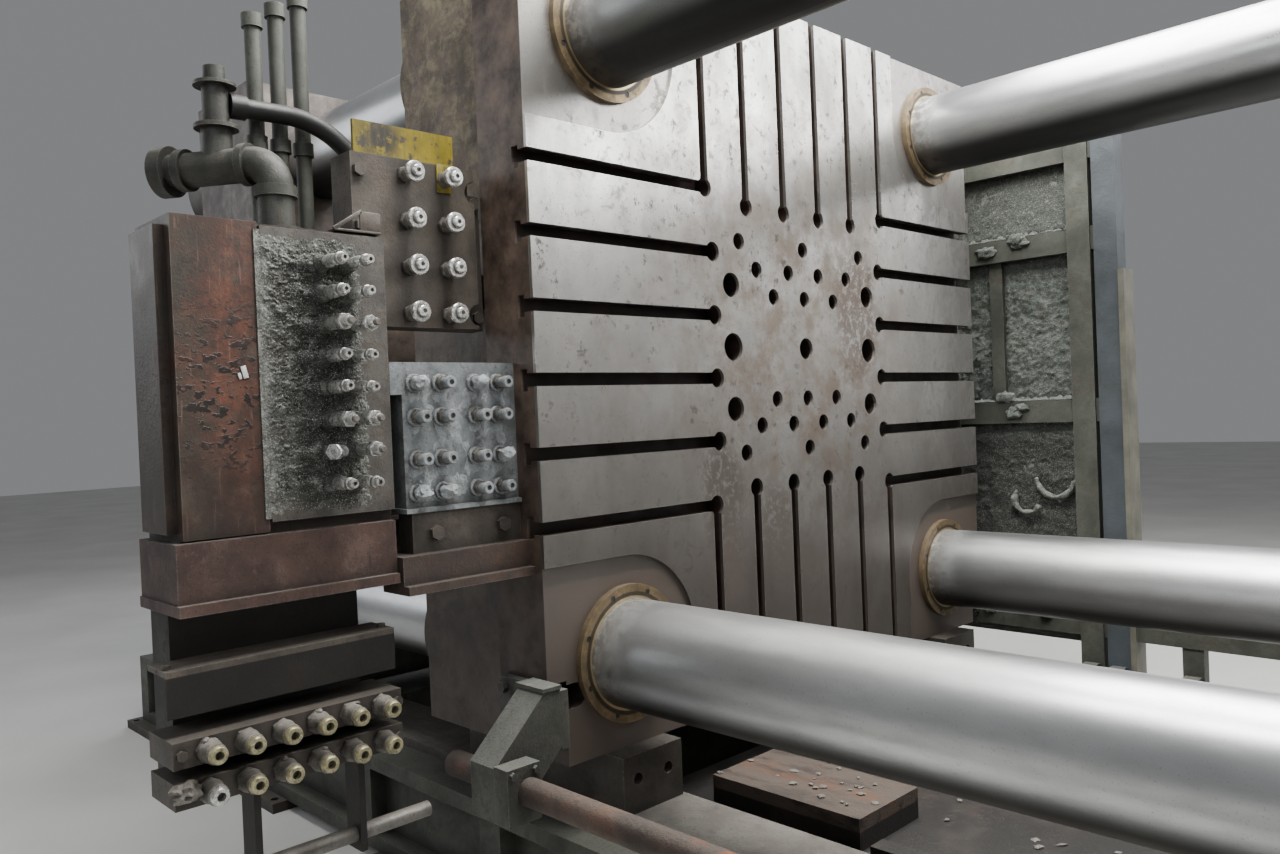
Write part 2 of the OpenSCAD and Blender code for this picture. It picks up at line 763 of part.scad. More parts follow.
// Rigid pipework on top of the valve box: foot, elbow, level run with unions and a standing valve.
module pipe_run() {
  color("dimgray") translate([pipe_x, pipe_y, 0]) rotate([0, 0, -pipe_turn]) {
    translate([0, 0, axis_h + box_top + 0.01]) {
      cylinder(h = 16, r = 62);
      cylinder(h = 112, r = pipe_r);
      translate([0, 0, 92]) cylinder(h = 26, r = pipe_r + 8);
    }
    translate([0, -60, pipe_z - 60]) rotate([90, 0, 90]) rotate_extrude(angle = 90)
      translate([60, 0]) circle(r = pipe_r);
    translate([0, -60, pipe_z]) rotate([90, 0, 0]) {
      cylinder(h = 20, r = pipe_r + 9);
      cylinder(h = 224, r = pipe_r);
      translate([0, 0, 168]) cylinder(h = 22, r = pipe_r + 9);
      translate([0, 0, 212]) cylinder(h = 34, r = pipe_r + 20);
    }
    translate([0, -valve_run, pipe_z]) {
      cylinder(h = 96, r = 36);
      translate([0, 0, 92]) cylinder(h = 10, r = 52);
      translate([0, 0, 102]) cylinder(h = 94, r = 31);
      translate([0, 0, 196]) cylinder(h = 8, r = 50);
      translate([0, 0, 204]) cylinder(h = 40, r = 26);
    }
  }
}

// Hydraulic hose from the standing valve to the carrier behind the small manifold, in one quarter bend.
module supply_hose() {
  valve_x = pipe_x - valve_run * sin(pipe_turn);
  valve_y = pipe_y - valve_run * cos(pipe_turn);
  z = pipe_z + 156;
  end_x = -big_x - 240;
  end_y = -1470;
  run = sqrt(pow(end_x - valve_x, 2) + pow(end_y - valve_y, 2));
  drop = z - axis_h - 220 - gap;
  color("black") translate([valve_x, valve_y, z]) rotate([0, 0, -atan2(end_x - valve_x, end_y - valve_y)]) {
    translate([0, 31 + gap, 0]) rotate([-90, 0, 0]) cylinder(h = 40, r = hose_r + 6);
    translate([0, 60, 0]) rotate([-90, 0, 0]) cylinder(h = run - hose_bend - 60, r = hose_r);
    translate([0, run - hose_bend, -hose_bend]) rotate([90, 0, 90]) rotate_extrude(angle = 90)
      translate([hose_bend, 0]) circle(r = hose_r);
    translate([0, run, -drop]) cylinder(h = drop - hose_bend, r = hose_r);
    translate([0, run, -drop]) cylinder(h = 46, r = hose_r + 6);
  }
}

// Cable conduits that stand on the carrier beside the ribbed casting.
module conduits() {
  color("slategray") for (i = [0:2]) translate([carrier_x + 27, -1752 + i * 62, axis_h + 220]) {
    cylinder(h = 620 + i * 40, r = 20);
    cylinder(h = 30, r = 27);
    translate([0, 0, 290]) cylinder(h = 34, r = 26);
    translate([0, 0, 600 + i * 40]) cylinder(h = 34, r = 26);
  }
}

module guard_posts() {
  color("slategray") for (x = post_x) {
    box(x - 48, x + 48, guard_y, guard_y + 90, 15, guard_h);
    box(x - 52, x + 52, guard_y - 60, guard_y + 150, 0, 15);
  }
  color("slategray") box(post_x[2] + 48, post_x[2] + 72, guard_y - 8, guard_y + 98, 15, axis_h + 320);
}

module guard_rails() {
  color("slategray") for (z = [480, axis_h - 314, axis_h + 420, guard_h - 120]) {
    box(post_x[0] + 48, post_x[1] - 48, guard_y + 10, guard_y + 60, z, z + 100);
    box(post_x[1] + 48, post_x[2] - 48, guard_y + 10, guard_y + 60, z, z + 100);
  }
  color("slategray") box(post_x[1] - 420, post_x[1] - 360, guard_y + 30, guard_y + 60,
    axis_h - 214, axis_h + 420);
  color("slategray") for (x = post_x)
    box(x - 30, x + 30, beam_in + beam_w, guard_y, beam_z1 - 48, beam_z1 - 2);
}

// Bottom rail of the sliding safety door, on legs and tied to the bed.
module door_rail() {
  x0 = post_x[2] + 72;
  x1 = daylight + 130;
  color("slategray") {
    box(x0, x1, guard_y, guard_y + 70, 480, 610);
    box(x0, x1, guard_y + 22, guard_y + 46, 610, 640);
    for (x = [740, daylight + 40]) {
      box(x - 40, x + 40, guard_y + 6, guard_y + 64, 15, 480);
      box(x - 52, x + 52, guard_y - 60, guard_y + 150, 0, 15);
      box(x - 30, x + 30, beam_in + beam_w, guard_y + 6, beam_z1 - 48, beam_z1 - 2);
    }
  }
}

module guard_panel() {
  color("gray") box(post_x[0] + 48, post_x[1] - 48, guard_y + 60, guard_y + 72, 440, guard_h - 20);
}

moving_platen();
platen_rib_frame();
guide_bushes();
ring_screws();
slide_shoes();
fixed_platen();
shot_sleeve_ring();
platen_feet();
tie_bars();
tie_nuts();
rear_platen();
closing_cylinder();
cylinder_gland();
cylinder_saddle();
closing_ram();
ejector_housing();
ejector_guides();
ejector_plate();
ejector_cylinders();
bed_beams();
bed_cross_members();
sole_plates();
slide_rails();
bed_tray();
rest_block();
small_manifold();
small_couplings();
cover_strip();
valve_box();
valve_face_plate();
valve_box_base();
box_fittings();
big_manifold();
big_couplings();
foot_strip();
bracket_plate();
side_carrier();
lower_panel();
angle_bar();
lower_rails();
lower_couplings();
hand_bar();
clamp_arm();
safety_rod();
rod_guide();
pipe_run();
supply_hose();
conduits();
guard_posts();
guard_rails();
guard_panel();
door_rail();
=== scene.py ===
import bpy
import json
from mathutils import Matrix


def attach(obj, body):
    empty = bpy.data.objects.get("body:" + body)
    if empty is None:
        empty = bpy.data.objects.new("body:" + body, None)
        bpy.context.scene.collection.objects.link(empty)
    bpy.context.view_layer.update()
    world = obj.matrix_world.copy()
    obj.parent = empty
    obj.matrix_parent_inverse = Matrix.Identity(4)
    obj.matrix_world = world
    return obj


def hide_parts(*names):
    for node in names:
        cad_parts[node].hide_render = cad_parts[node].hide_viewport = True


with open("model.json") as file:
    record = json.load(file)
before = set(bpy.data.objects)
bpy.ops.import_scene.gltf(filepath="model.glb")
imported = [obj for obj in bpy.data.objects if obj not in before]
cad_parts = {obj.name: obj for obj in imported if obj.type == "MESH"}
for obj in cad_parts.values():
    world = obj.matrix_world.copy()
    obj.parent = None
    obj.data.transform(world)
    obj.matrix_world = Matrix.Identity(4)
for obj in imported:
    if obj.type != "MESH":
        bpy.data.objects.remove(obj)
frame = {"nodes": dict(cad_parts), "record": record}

"""Looks of a die casting machine clamping unit: finishes, small pieces, light and camera.

Metres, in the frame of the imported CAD: x = 0 is the die face of the moving platen, z = 0 the
floor, y = 0 the machine axis, and -y the operator side.
"""

import json
import logging
import math
import random
from abc import ABC, abstractmethod
from dataclasses import dataclass, field
from enum import Enum
from functools import partial
from typing import Callable, Optional, Sequence, Union

import bmesh
import bpy
from mathutils import Matrix, Vector, noise

logging.basicConfig(level=logging.INFO, format="%(message)s")
log = logging.getLogger("scene")

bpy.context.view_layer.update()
SEED = 41
MM = 0.001
# Angle in degrees above which an edge of a crust stays sharp, and how far its rim turns back.
CRUST_CREASE = 80
CRUST_RIM = 3 * MM
# Share of noise's range from 0 to 1 that it really fills.
NOISE_SPREAD = 0.42

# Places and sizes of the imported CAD, in metres.
AXIS_Z = 1.72
TIE_BAR_Y = 0.9
TIE_BAR_UP = 0.886
DAYLIGHT = 2.2
PLATEN_SIDE = 1.195
CORNER_STEP = 4 * MM
SLOT_LIP = 12 * MM
RIB_FRAME_BACK = -0.84
SAFETY_ROD_Y = -1.38
TRAY_TOP = 0.4
GUARD_POST_Y = (1.48, 1.602)
LAST_POST_X = (0.4, 0.531)
CLADDING_X = 0.503
CLADDING_TOP = 2.0405
LOWER_RAIL_Z = (AXIS_Z - 0.9835, AXIS_Z - 0.835)
ANGLE_LEAF_Z = (AXIS_Z - 0.801, AXIS_Z - 0.7135)

Value = Union[bpy.types.NodeSocket, float, tuple]
Stop = tuple[float, str]
Corner = tuple[float, float, float]


def linear(code: str) -> tuple[float, float, float, float]:
    """Turns an sRGB hex colour into linear values.

    Args:
        code: Colour such as "#8a8680".

    Returns:
        Red, green, blue and alpha for a shader socket.
    """
    parts = [int(code[i:i + 2], 16) / 255 for i in (1, 3, 5)]
    lin = [c / 12.92 if c <= 0.04045 else ((c + 0.055) / 1.055) ** 2.4 for c in parts]
    return (lin[0], lin[1], lin[2], 1.0)


class Axis(Enum):
    """Row axes, by their index in a vector."""

    X = 0
    Y = 1
    Z = 2


class Body(Enum):
    """CAD bodies that a piece can ride on."""

    FRAME = "frame"
    MOVING = "moving"


class Graph:
    """One material's node tree, with short words for the masks that the finishes share."""

    def __init__(self, name: str) -> None:
        """Starts an empty tree.

        Args:
            name: Material name, after the real material and how its surface was made.
        """
        self.material = bpy.data.materials.new(name)
        self.material.use_nodes = True
        self.tree = self.material.node_tree
        self.tree.nodes.clear()
        self.place = self.add("ShaderNodeTexCoord", out="Object")
        self.split = self.tree.nodes.new("ShaderNodeSeparateXYZ")
        self.tree.links.new(self.place, self.split.inputs[0])

    def add(
        self, kind: str, inputs: Optional[dict] = None, out: Union[int, str] = 0, **settings: object
    ) -> Value:
        """Adds a node with its settings and links.

        Args:
            kind: Blender's node type.
            inputs: Socket name or index to a socket, number or tuple.
            out: Output socket to give back.
            **settings: Properties of the node.

        Returns:
            The output socket.
        """
        node = self.tree.nodes.new(kind)
        for key, value in settings.items():
            setattr(node, key, value)
        for key, value in (inputs or {}).items():
            socket = node.inputs[key]
            if isinstance(value, bpy.types.NodeSocket):
                self.tree.links.new(value, socket)
            else:
                socket.default_value = value
        return node.outputs[out] if len(node.outputs) else node.inputs[0]

    def math(self, op: str, a: Value, b: Value = 0.0) -> Value:
        """Gives one arithmetic step on two values."""
        return self.add("ShaderNodeMath", {0: a, 1: b}, operation=op)

    def times(self, *masks: Value) -> Value:
        """Multiplies masks together.

        Args:
            *masks: Masks from 0 to 1.

        Returns:
            Mask from 0 to 1.
        """
        total = masks[0]
        for mask in masks[1:]:
            total = self.math("MULTIPLY", total, mask)
        return total

    def most(self, *masks: Value) -> Value:
        """Takes the strongest of several masks.

        Args:
            *masks: Masks from 0 to 1.

        Returns:
            Mask from 0 to 1.
        """
        total = masks[0]
        for mask in masks[1:]:
            total = self.math("MAXIMUM", total, mask)
        return total

    def invert(self, mask: Value) -> Value:
        """Turns a mask inside out."""
        return self.math("SUBTRACT", 1.0, mask)

    def band(self, value: Value, low: float, high: float, to: tuple[float, float] = (0.0, 1.0)) -> Value:
        """Maps a value from low..high onto to[0]..to[1] with soft ends.

        Args:
            value: Value to map.
            low: Its lower end.
            high: Its upper end.
            to: What the two ends become.

        Returns:
            The mapped value.
        """
        return self.add(
            "ShaderNodeMapRange",
            {0: value, 1: low, 2: high, 3: to[0], 4: to[1]},
            interpolation_type="SMOOTHSTEP",
        )

    def ramp(self, value: Value, *stops: Stop) -> Value:
        """Colours a value by its stops.

        Args:
            value: Value from 0 to 1.
            *stops: Place and hex colour pairs in rising order.

        Returns:
            Colour socket.
        """
        node = self.tree.nodes.new("ShaderNodeValToRGB")
        items = node.color_ramp.elements
        while len(items) < len(stops):
            items.new(0.5)
        for item, (place, colour) in zip(items, stops):
            item.position = place
            item.color = linear(colour)
        self.tree.links.new(value, node.inputs[0])
        return node.outputs[0]

    def mix(self, mask: Value, a: Value, b: Value) -> Value:
        """Mixes two colours."""
        return self.add("ShaderNodeMix", {0: mask, 6: a, 7: b}, out=2, data_type="RGBA")

    def blend(self, mask: Value, a: Value, b: Value) -> Value:
        """Mixes two plain values."""
        return self.add("ShaderNodeMix", {0: mask, 2: a, 3: b}, out=0, data_type="FLOAT")

    def noise(
        self,
        size: float,
        detail: float = 4.0,
        rough: float = 0.55,
        warp: float = 0.0,
        stretch: Sequence[float] = (1, 1, 1),
    ) -> Value:
        """Gives cloudy noise with features of a real size.

        Args:
            size: Feature size in mm.
            detail: Octaves of finer grain, fewer where they would be finer than a millimetre.
            rough: Strength of the finer grain.
            warp: Distortion of the pattern.
            stretch: How many times longer the features are along x, y and z.

        Returns:
            Noise from 0 to 1 about 0.5.
        """
        spot = self.add(
            "ShaderNodeVectorMath", {0: self.place, 1: tuple(1 / s for s in stretch)}, operation="MULTIPLY",
        )
        octaves = min(detail, max(2.0, math.log2(size)))
        return self.add(
            "ShaderNodeTexNoise",
            {
                "Vector": spot, "Scale": 1 / (size * MM), "Detail": octaves, "Roughness": rough,
                "Distortion": warp,
            },
        )

    def cells(self, size: float) -> Value:
        """Gives a cell pattern of a real size in mm."""
        return self.add("ShaderNodeTexVoronoi", {"Vector": self.place, "Scale": 1 / (size * MM)})

    def blotch(
        self, size: float, amount: float, edge: float = 0.06, **more: Union[float, Sequence[float]]
    ) -> Value:
        """Gives islands that cover about a share of the surface.

        Args:
            size: Island size in mm.
            amount: Share that is covered, 0 to 1.
            edge: Softness of the island rim.
            **more: Passed to noise.

        Returns:
            Mask from 0 to 1.
        """
        at = 0.5 + (0.5 - amount) * NOISE_SPREAD
        return self.band(self.noise(size, **more), at - edge, at + edge)

    def runs(self, width: float, length: float, amount: float, edge: float = 0.1) -> Value:
        """Gives streaks that run down a wall."""
        return self.blotch(width, amount, edge, detail=5, rough=0.6, stretch=(1, 1, length / width))

    def axis(self, axis: Axis) -> Value:
        """Gives one coordinate in metres."""
        return self.split.outputs[axis.value]

    def beyond(self, axis: Axis, at: float, soft: float = 0.001) -> Value:
        """Gives 1 where a coordinate is past a plane."""
        return self.band(self.axis(axis), at - soft, at + soft)

    def within(self, axis: Axis, low: float, high: float, soft: float = 0.001) -> Value:
        """Gives 1 where a coordinate lies between two planes."""
        return self.times(self.beyond(axis, low, soft), self.invert(self.beyond(axis, high, soft)))

    def normal(self, axis: Axis) -> Value:
        """Gives how much a face looks along a row axis, from -1 to 1."""
        normal = self.add("ShaderNodeNewGeometry", out="Normal")
        return self.add("ShaderNodeSeparateXYZ", {0: normal}, out=axis.value)

    def upward(self) -> Value:
        """Gives 1 on faces that look up."""
        return self.band(self.normal(Axis.Z), 0.55, 0.8)

    def near(
        self, centre: Sequence[float], inner: float, outer: float, flat: Sequence[float] = (1, 1, 1),
    ) -> Value:
        """Gives 1 close to a point and 0 past an outer radius.

        Args:
            centre: Point in metres.
            inner: Radius that is fully covered.
            outer: Radius where the mask ends.
            flat: Weight of each axis in the distance.

        Returns:
            Mask from 0 to 1.
        """
        off = self.add("ShaderNodeVectorMath", {0: self.place, 1: tuple(centre)}, operation="SUBTRACT")
        off = self.add("ShaderNodeVectorMath", {0: off, 1: tuple(flat)}, operation="MULTIPLY")
        reach = self.add("ShaderNodeVectorMath", {0: off}, operation="LENGTH", out="Value")
        return self.invert(self.band(reach, inner, outer))

    def cavity(self, reach: float) -> Value:
        """Gives 1 in corners and gaps, looked for within reach mm; the finishes paint shade where it is 1."""
        open_air = self.add("ShaderNodeAmbientOcclusion", {"Distance": reach * MM}, out="AO", samples=2)
        return self.band(open_air, 0.45, 1.0, (1.0, 0.0))

    def edges(self, radius: float) -> Value:
        """Gives 1 on sharp edges, as wide as radius mm.

        Args:
            radius: Width in mm.

        Returns:
            Mask from 0 to 1.
        """
        soft = self.add("ShaderNodeBevel", {"Radius": radius * MM}, samples=2)
        hard = self.add("ShaderNodeNewGeometry", out="Normal")
        same = self.add("ShaderNodeVectorMath", {0: soft, 1: hard}, operation="DOT_PRODUCT", out="Value")
        return self.band(same, 0.8, 0.97, (1.0, 0.0))


def tone(colour: Union[str, Value]) -> Value:
    """Gives the value of a hex colour, or a socket as it is."""
    return linear(colour) if isinstance(colour, str) else colour


class Coats:
    """Coats that lie over each other, each where its mask is 1."""

    def __init__(self, graph: Graph, colour: Union[str, Value], rough: Value, metal: Value = 0.0) -> None:
        """Starts with the bare surface.

        Args:
            graph: The material's graph.
            colour: Hex colour or socket.
            rough: Roughness.
            metal: How metallic it is.
        """
        self.g = graph
        self.colour = tone(colour)
        self.rough: Value = rough
        self.metal: Value = metal

    def coat(
        self, mask: Value, colour: Union[str, Value], rough: Value, metal: Optional[float] = None,
    ) -> None:
        """Lays one coat.

        Args:
            mask: Where it lies, 0 to 1.
            colour: Hex colour or socket.
            rough: Its roughness.
            metal: How metallic it is, left as it was where None.
        """
        self.colour = self.g.mix(mask, self.colour, tone(colour))
        self.rough = self.g.blend(mask, self.rough, rough)
        if metal is not None:
            self.metal = self.g.blend(mask, self.metal, metal)

    def done(self, height: Value, depth: float, **shader: Value) -> bpy.types.Material:
        """Joins the stack to a shader.

        Args:
            height: Relief from 0 to 1.
            depth: Real depth of the relief in mm.
            **shader: Other shader sockets.

        Returns:
            The finished material.
        """
        relief = self.g.add("ShaderNodeBump", {"Height": height, "Distance": depth * MM, "Strength": 1.0})
        inputs = {
            "Base Color": self.colour, "Roughness": self.rough, "Metallic": self.metal, "Normal": relief,
        }
        surface = self.g.add("ShaderNodeBsdfPrincipled", {**inputs, **shader})
        self.g.add("ShaderNodeOutputMaterial", {"Surface": surface})
        return self.g.material


@dataclass(frozen=True)
class Finish(ABC):
    """A finish, named for the real material and how its surface was made.

    Attributes:
        name: Material name.
    """

    name: str

    @abstractmethod
    def material(self) -> bpy.types.Material:
        """Builds the material."""


@dataclass(frozen=True)
class MilledFace(Finish):
    """Milled platen steel, wiped and stained by years of die changes, with painted shade low on the face and
    in the slots and painted highlights on its edges.

    Attributes:
        inward: Sign of x that points into the platen from its die face.
        at: x of the die face.
        smears: y, height from the machine axis, reach and colour of each smear.
    """

    inward: float
    at: float
    smears: tuple[tuple[float, float, float, str], ...] = (
        (-0.2, -0.6, 0.15, "#2c2521"),
        (-0.47, -0.46, 0.17, "#332b26"),
        (-0.45, -0.71, 0.13, "#4e342a"),
        (0.32, 0.12, 0.25, "#4a3f38"),
    )

    def material(self) -> bpy.types.Material:
        """Builds the material.

        Returns:
            The material.
        """
        g = Graph(self.name)
        depth = g.math("MULTIPLY", g.math("SUBTRACT", g.axis(Axis.X), self.at), self.inward)
        deep = g.band(depth, CORNER_STEP - MM / 2, CORNER_STEP + MM / 2)
        slot = g.band(depth, SLOT_LIP - MM / 2, SLOT_LIP + MM / 2)
        cloud = g.noise(520, 5, 0.6, 0.4)
        c = Coats(
            g, g.ramp(cloud, (0.3, "#93918f"), (0.5, "#b3b2b0"), (0.68, "#cecdcb")),
            g.band(cloud, 0.3, 0.7, (0.42, 0.3)), 0.92,
        )
        wiped = g.blotch(110, 0.5, 0.18, detail=6, rough=0.6, stretch=(1, 1, 2))
        c.coat(g.times(wiped, 0.45), "#cfccc7", 0.28)
        c.coat(g.times(g.band(g.noise(230, 6, 0.6, 0.4, (1, 1, 2)), 0.42, 0.6), 0.35), "#7d7a77", 0.44)
        far = g.times(
            g.band(g.axis(Axis.Y), 0.45, 0.95),
            g.blotch(90, 0.46, 0.08, detail=9, rough=0.74, warp=0.5, stretch=(1, 1, 1.7)),
        )
        c.coat(g.times(far, 0.65), "#5a5552", 0.48, 0.6)
        centre = g.near((self.at, 0, AXIS_Z), 0.25, 1.15, (0.2, 1, 1))
        stain = g.times(g.blotch(170, 0.55, 0.14, detail=7, rough=0.68), centre)
        c.coat(g.times(stain, 0.85), "#695b4e", 0.5, 0.6)
        for y, up, reach, colour in self.smears:
            smear = g.times(
                g.near((self.at, y, AXIS_Z + up), reach * 0.4, reach, (0.2, 1.2, 0.7)),
                g.blotch(26, 0.6, 0.05, detail=9, rough=0.75),
            )
            c.coat(g.times(smear, 0.85), colour, 0.6, 0.2)
        c.coat(
            g.times(g.blotch(70, 0.3, 0.07, detail=9, rough=0.76, warp=0.6), g.blotch(260, 0.5, 0.12), 0.5),
            "#6a5a50", 0.46, 0.7,
        )
        c.coat(
            g.times(g.blotch(44, 0.26, 0.045, detail=8, rough=0.72), g.blotch(420, 0.56, 0.12), 0.85),
            "#352c27", 0.62, 0.2,
        )
        c.coat(
            g.times(g.blotch(16, 0.2, 0.04, detail=8, rough=0.75), g.blotch(300, 0.5, 0.1), 0.7), "#2c2420",
            0.6, 0.2,
        )
        c.coat(g.times(g.blotch(7, 0.16, 0.04), g.blotch(160, 0.4, 0.1), 0.6), "#4c3a30", 0.6, 0.3)
        low = g.times(g.invert(g.beyond(Axis.Z, AXIS_Z - 0.66, 0.01)), deep)
        c.coat(g.times(deep, 0.5), "#8b8681", 0.45)
        c.coat(low, g.ramp(g.noise(120, 6), (0.35, "#2f1f1a"), (0.65, "#523830")), 0.5, 0.0)
        # Darker towards the bottom of the face: a stain, and painted shade where the lower face lies in
        # shadow.
        c.coat(
            g.times(g.band(g.axis(Axis.Z), AXIS_Z - 0.75, AXIS_Z - 0.05, (1.0, 0.0)), 0.85), "#4d4640", 0.5,
        )
        # Dark grease on the sides and in the slots; in the slots it is also painted shade.
        grease_and_slot_shade = g.ramp(g.noise(140, 7, 0.62), (0.3, "#120e0c"), (0.55, "#2c211c"), (0.75, "#45362e"))
        c.coat(slot, grease_and_slot_shade, g.band(g.noise(60), 0.35, 0.65, (0.32, 0.6)), 0.1)
        outer = g.times(
            slot, g.band(g.math("ABSOLUTE", g.axis(Axis.Y)), PLATEN_SIDE - 5 * MM, PLATEN_SIDE),
            g.band(g.axis(Axis.Z), AXIS_Z - 1.0, AXIS_Z - 0.2),
        )
        c.coat(g.times(outer, 0.85), g.ramp(g.noise(110, 8, 0.7), (0.35, "#2b211c"), (0.65, "#6b5b50")), 0.5)
        # Painted highlight on the edges of the face.
        c.coat(g.times(g.edges(3), g.invert(deep)), "#d8d6d2", 0.25, 1.0)
        relief = g.math(
            "ADD", g.times(g.noise(3, 3, stretch=(1, 14, 1)), 0.4), g.times(g.noise(30, 6, 0.7), 0.8),
        )
        return c.done(relief, 0.35)


@dataclass(frozen=True)
class GroundBar(Finish):
    """Ground and polished bar steel with light rings of dirt where the platen rides, and painted shade on its
    undersides.
    """

    def material(self) -> bpy.types.Material:
        """Builds the material.

        Returns:
            The material.
        """
        g = Graph(self.name)
        cloud = g.noise(320, 5, 0.6, stretch=(3, 1, 1))
        c = Coats(
            g, g.ramp(cloud, (0.3, "#a9acad"), (0.7, "#cdcfd0")), g.band(cloud, 0.3, 0.7, (0.27, 0.35)), 0.92,
        )
        c.coat(
            g.times(g.blotch(60, 0.35, 0.16, detail=7, rough=0.65, stretch=(4, 1, 1)), 0.3), "#8d8d8b", 0.5,
        )
        c.coat(g.times(g.blotch(4, 0.1, 0.04), 0.4), "#6d6863", 0.5, 0.6)
        # Painted shade on the undersides of the bars.
        c.coat(g.band(g.normal(Axis.Z), -0.72, -0.25, (0.93, 0.0)), "#161514", 0.42, 0.75)
        mouth = g.times(g.within(Axis.X, -0.05, 0.09, 0.06), g.blotch(26, 0.6, 0.12, detail=6))
        c.coat(g.times(mouth, 0.8), "#4c443c", 0.6, 0.3)
        relief = g.noise(2.2, 3, stretch=(0.5, 18, 18))
        tangent = g.add("ShaderNodeTangent", direction_type="RADIAL", axis="X")
        return c.done(relief, 0.04, Anisotropic=0.3, Tangent=tangent)


@dataclass(frozen=True)
class Weathered(Finish):
    """A surface under wear, rust and dirt, with painted shade in its corners and, on most finishes, painted
    highlights on its edges.

    Attributes:
        dark: Darkest shade of the sound surface.
        light: Lightest shade of the sound surface.
        rust: Colour of the rust or second coat that shows through.
        rust_share: Share of the surface that it covers.
        grime_and_shade: Colour of the dirt in runs and blotches, and of the painted shade in corners and
            gaps.
        grime_and_shade_share: Strength of that dirt and painted shade.
        dust: Colour of what settles on upward faces.
        dust_share: Strength of that dust.
        rough: Roughness of the sound surface.
        metal: How metallic the sound surface is.
        bare_and_lit: Colour of edges rubbed through to the steel; where it is lighter than the surface, it is
            also a painted highlight.
        edge: Width of the rubbed, highlighted edges in mm, 0 for none.
        cloud: Size in mm of the slow changes of shade.
        grain: Size in mm of the fine relief.
        depth: Depth in mm of the relief.
        extra: Lays coats that only this surface has.
    """

    dark: str
    light: str
    rust: str = "#4c3226"
    rust_share: float = 0.2
    grime_and_shade: str = "#15110e"
    grime_and_shade_share: float = 0.7
    dust: str = "#6b655d"
    dust_share: float = 0.45
    rough: float = 0.5
    metal: float = 0.0
    bare_and_lit: str = "#8d8a86"
    edge: float = 4.0
    cloud: float = 220
    grain: float = 9
    depth: float = 0.8
    extra: Optional[Callable[[Graph, Coats], None]] = None

    def material(self) -> bpy.types.Material:
        """Builds the material.

        Returns:
            The material.
        """
        g = Graph(self.name)
        cloud = g.noise(self.cloud, 7, 0.66, 0.3)
        shine = g.band(cloud, 0.3, 0.7, (self.rough + 0.1, self.rough - 0.08))
        c = Coats(g, g.ramp(cloud, (0.34, self.dark), (0.66, self.light)), shine, self.metal)
        grain = g.noise(self.grain, 6, 0.65)
        rust = g.blotch(self.cloud * 0.5, self.rust_share, 0.09, detail=10, rough=0.74)
        shade = g.ramp(grain, (0.3, self.rust), (0.78, self.light))
        c.coat(g.times(rust, 0.8), g.mix(0.4, linear(self.rust), shade), 0.78, 0.0)
        c.coat(g.times(g.blotch(11, 0.13, 0.05, detail=5), 0.55), self.rust, 0.8, 0.0)
        # Edges rubbed through the surface; where they come out lighter, they are also a painted highlight.
        if self.edge:
            worn_and_lit = g.times(g.edges(self.edge), g.band(grain, 0.35, 0.6))
            c.coat(g.times(worn_and_lit, 0.8), self.bare_and_lit, 0.42, 0.7)
        runs = g.times(g.runs(16, 130, 0.14, 0.05), g.blotch(150, 0.5, 0.1), 0.55)
        soiled = g.times(g.blotch(90, 0.4, 0.16, detail=9, rough=0.7), 0.42)
        # Dirt in runs and blotches, with painted shade in corners and gaps.
        c.coat(g.times(g.most(g.cavity(70), runs, soiled), self.grime_and_shade_share), self.grime_and_shade, 0.6, 0.0)
        c.coat(g.times(g.blotch(5, 0.12, 0.04), 0.6), self.grime_and_shade, 0.7, 0.0)
        if self.dust_share:
            lying = g.times(g.upward(), g.band(grain, 0.25, 0.6), self.dust_share)
            c.coat(lying, self.dust, 0.92, 0.0)
        if self.extra:
            self.extra(g, c)
        relief = g.math("ADD", grain, g.times(rust, 0.6))
        return c.done(relief, self.depth)


def ring_lips(g: Graph, c: Coats) -> None:
    """Lays the oily groove and the bright wiper lip round each tie bar on the bush rings.

    Args:
        g: The material's graph.
        c: Its coats so far.
    """
    side = g.math("SUBTRACT", g.math("ABSOLUTE", g.axis(Axis.Y)), TIE_BAR_Y)
    up = g.math("SUBTRACT", g.math("ABSOLUTE", g.math("SUBTRACT", g.axis(Axis.Z), AXIS_Z)), TIE_BAR_UP)
    reach = g.math("SQRT", g.math("ADD", g.times(side, side), g.times(up, up)))
    c.coat(
        g.times(g.band(reach, 0.163, 0.165), g.invert(g.band(reach, 0.173, 0.176)), 0.85), "#1d1813", 0.5,
        0.2,
    )
    c.coat(g.times(g.band(reach, 0.177, 0.19), g.blotch(40, 0.5, 0.12, detail=7), 0.7), "#5f5242", 0.5, 0.5)
    c.coat(g.times(g.invert(g.band(reach, 0.161, 0.163)), 0.8), "#bfae8c", 0.32, 0.9)


def rod_rust(g: Graph, c: Coats) -> None:
    """Lays bright orange rust on the open stretch of the safety rod.

    Args:
        g: The material's graph.
        c: Its coats so far.
    """
    rod = g.within(Axis.Y, SAFETY_ROD_Y - 0.04, SAFETY_ROD_Y + 0.04)
    open_part = g.times(
        rod, g.within(Axis.X, 0.7, 1.05, 0.06),
        g.blotch(60, 0.34, 0.06, detail=9, rough=0.7, stretch=(2.5, 1, 1)),
    )
    c.coat(g.times(open_part, 0.9), g.ramp(g.noise(12, 6), (0.3, "#5e2f17"), (0.7, "#92502b")), 0.85)


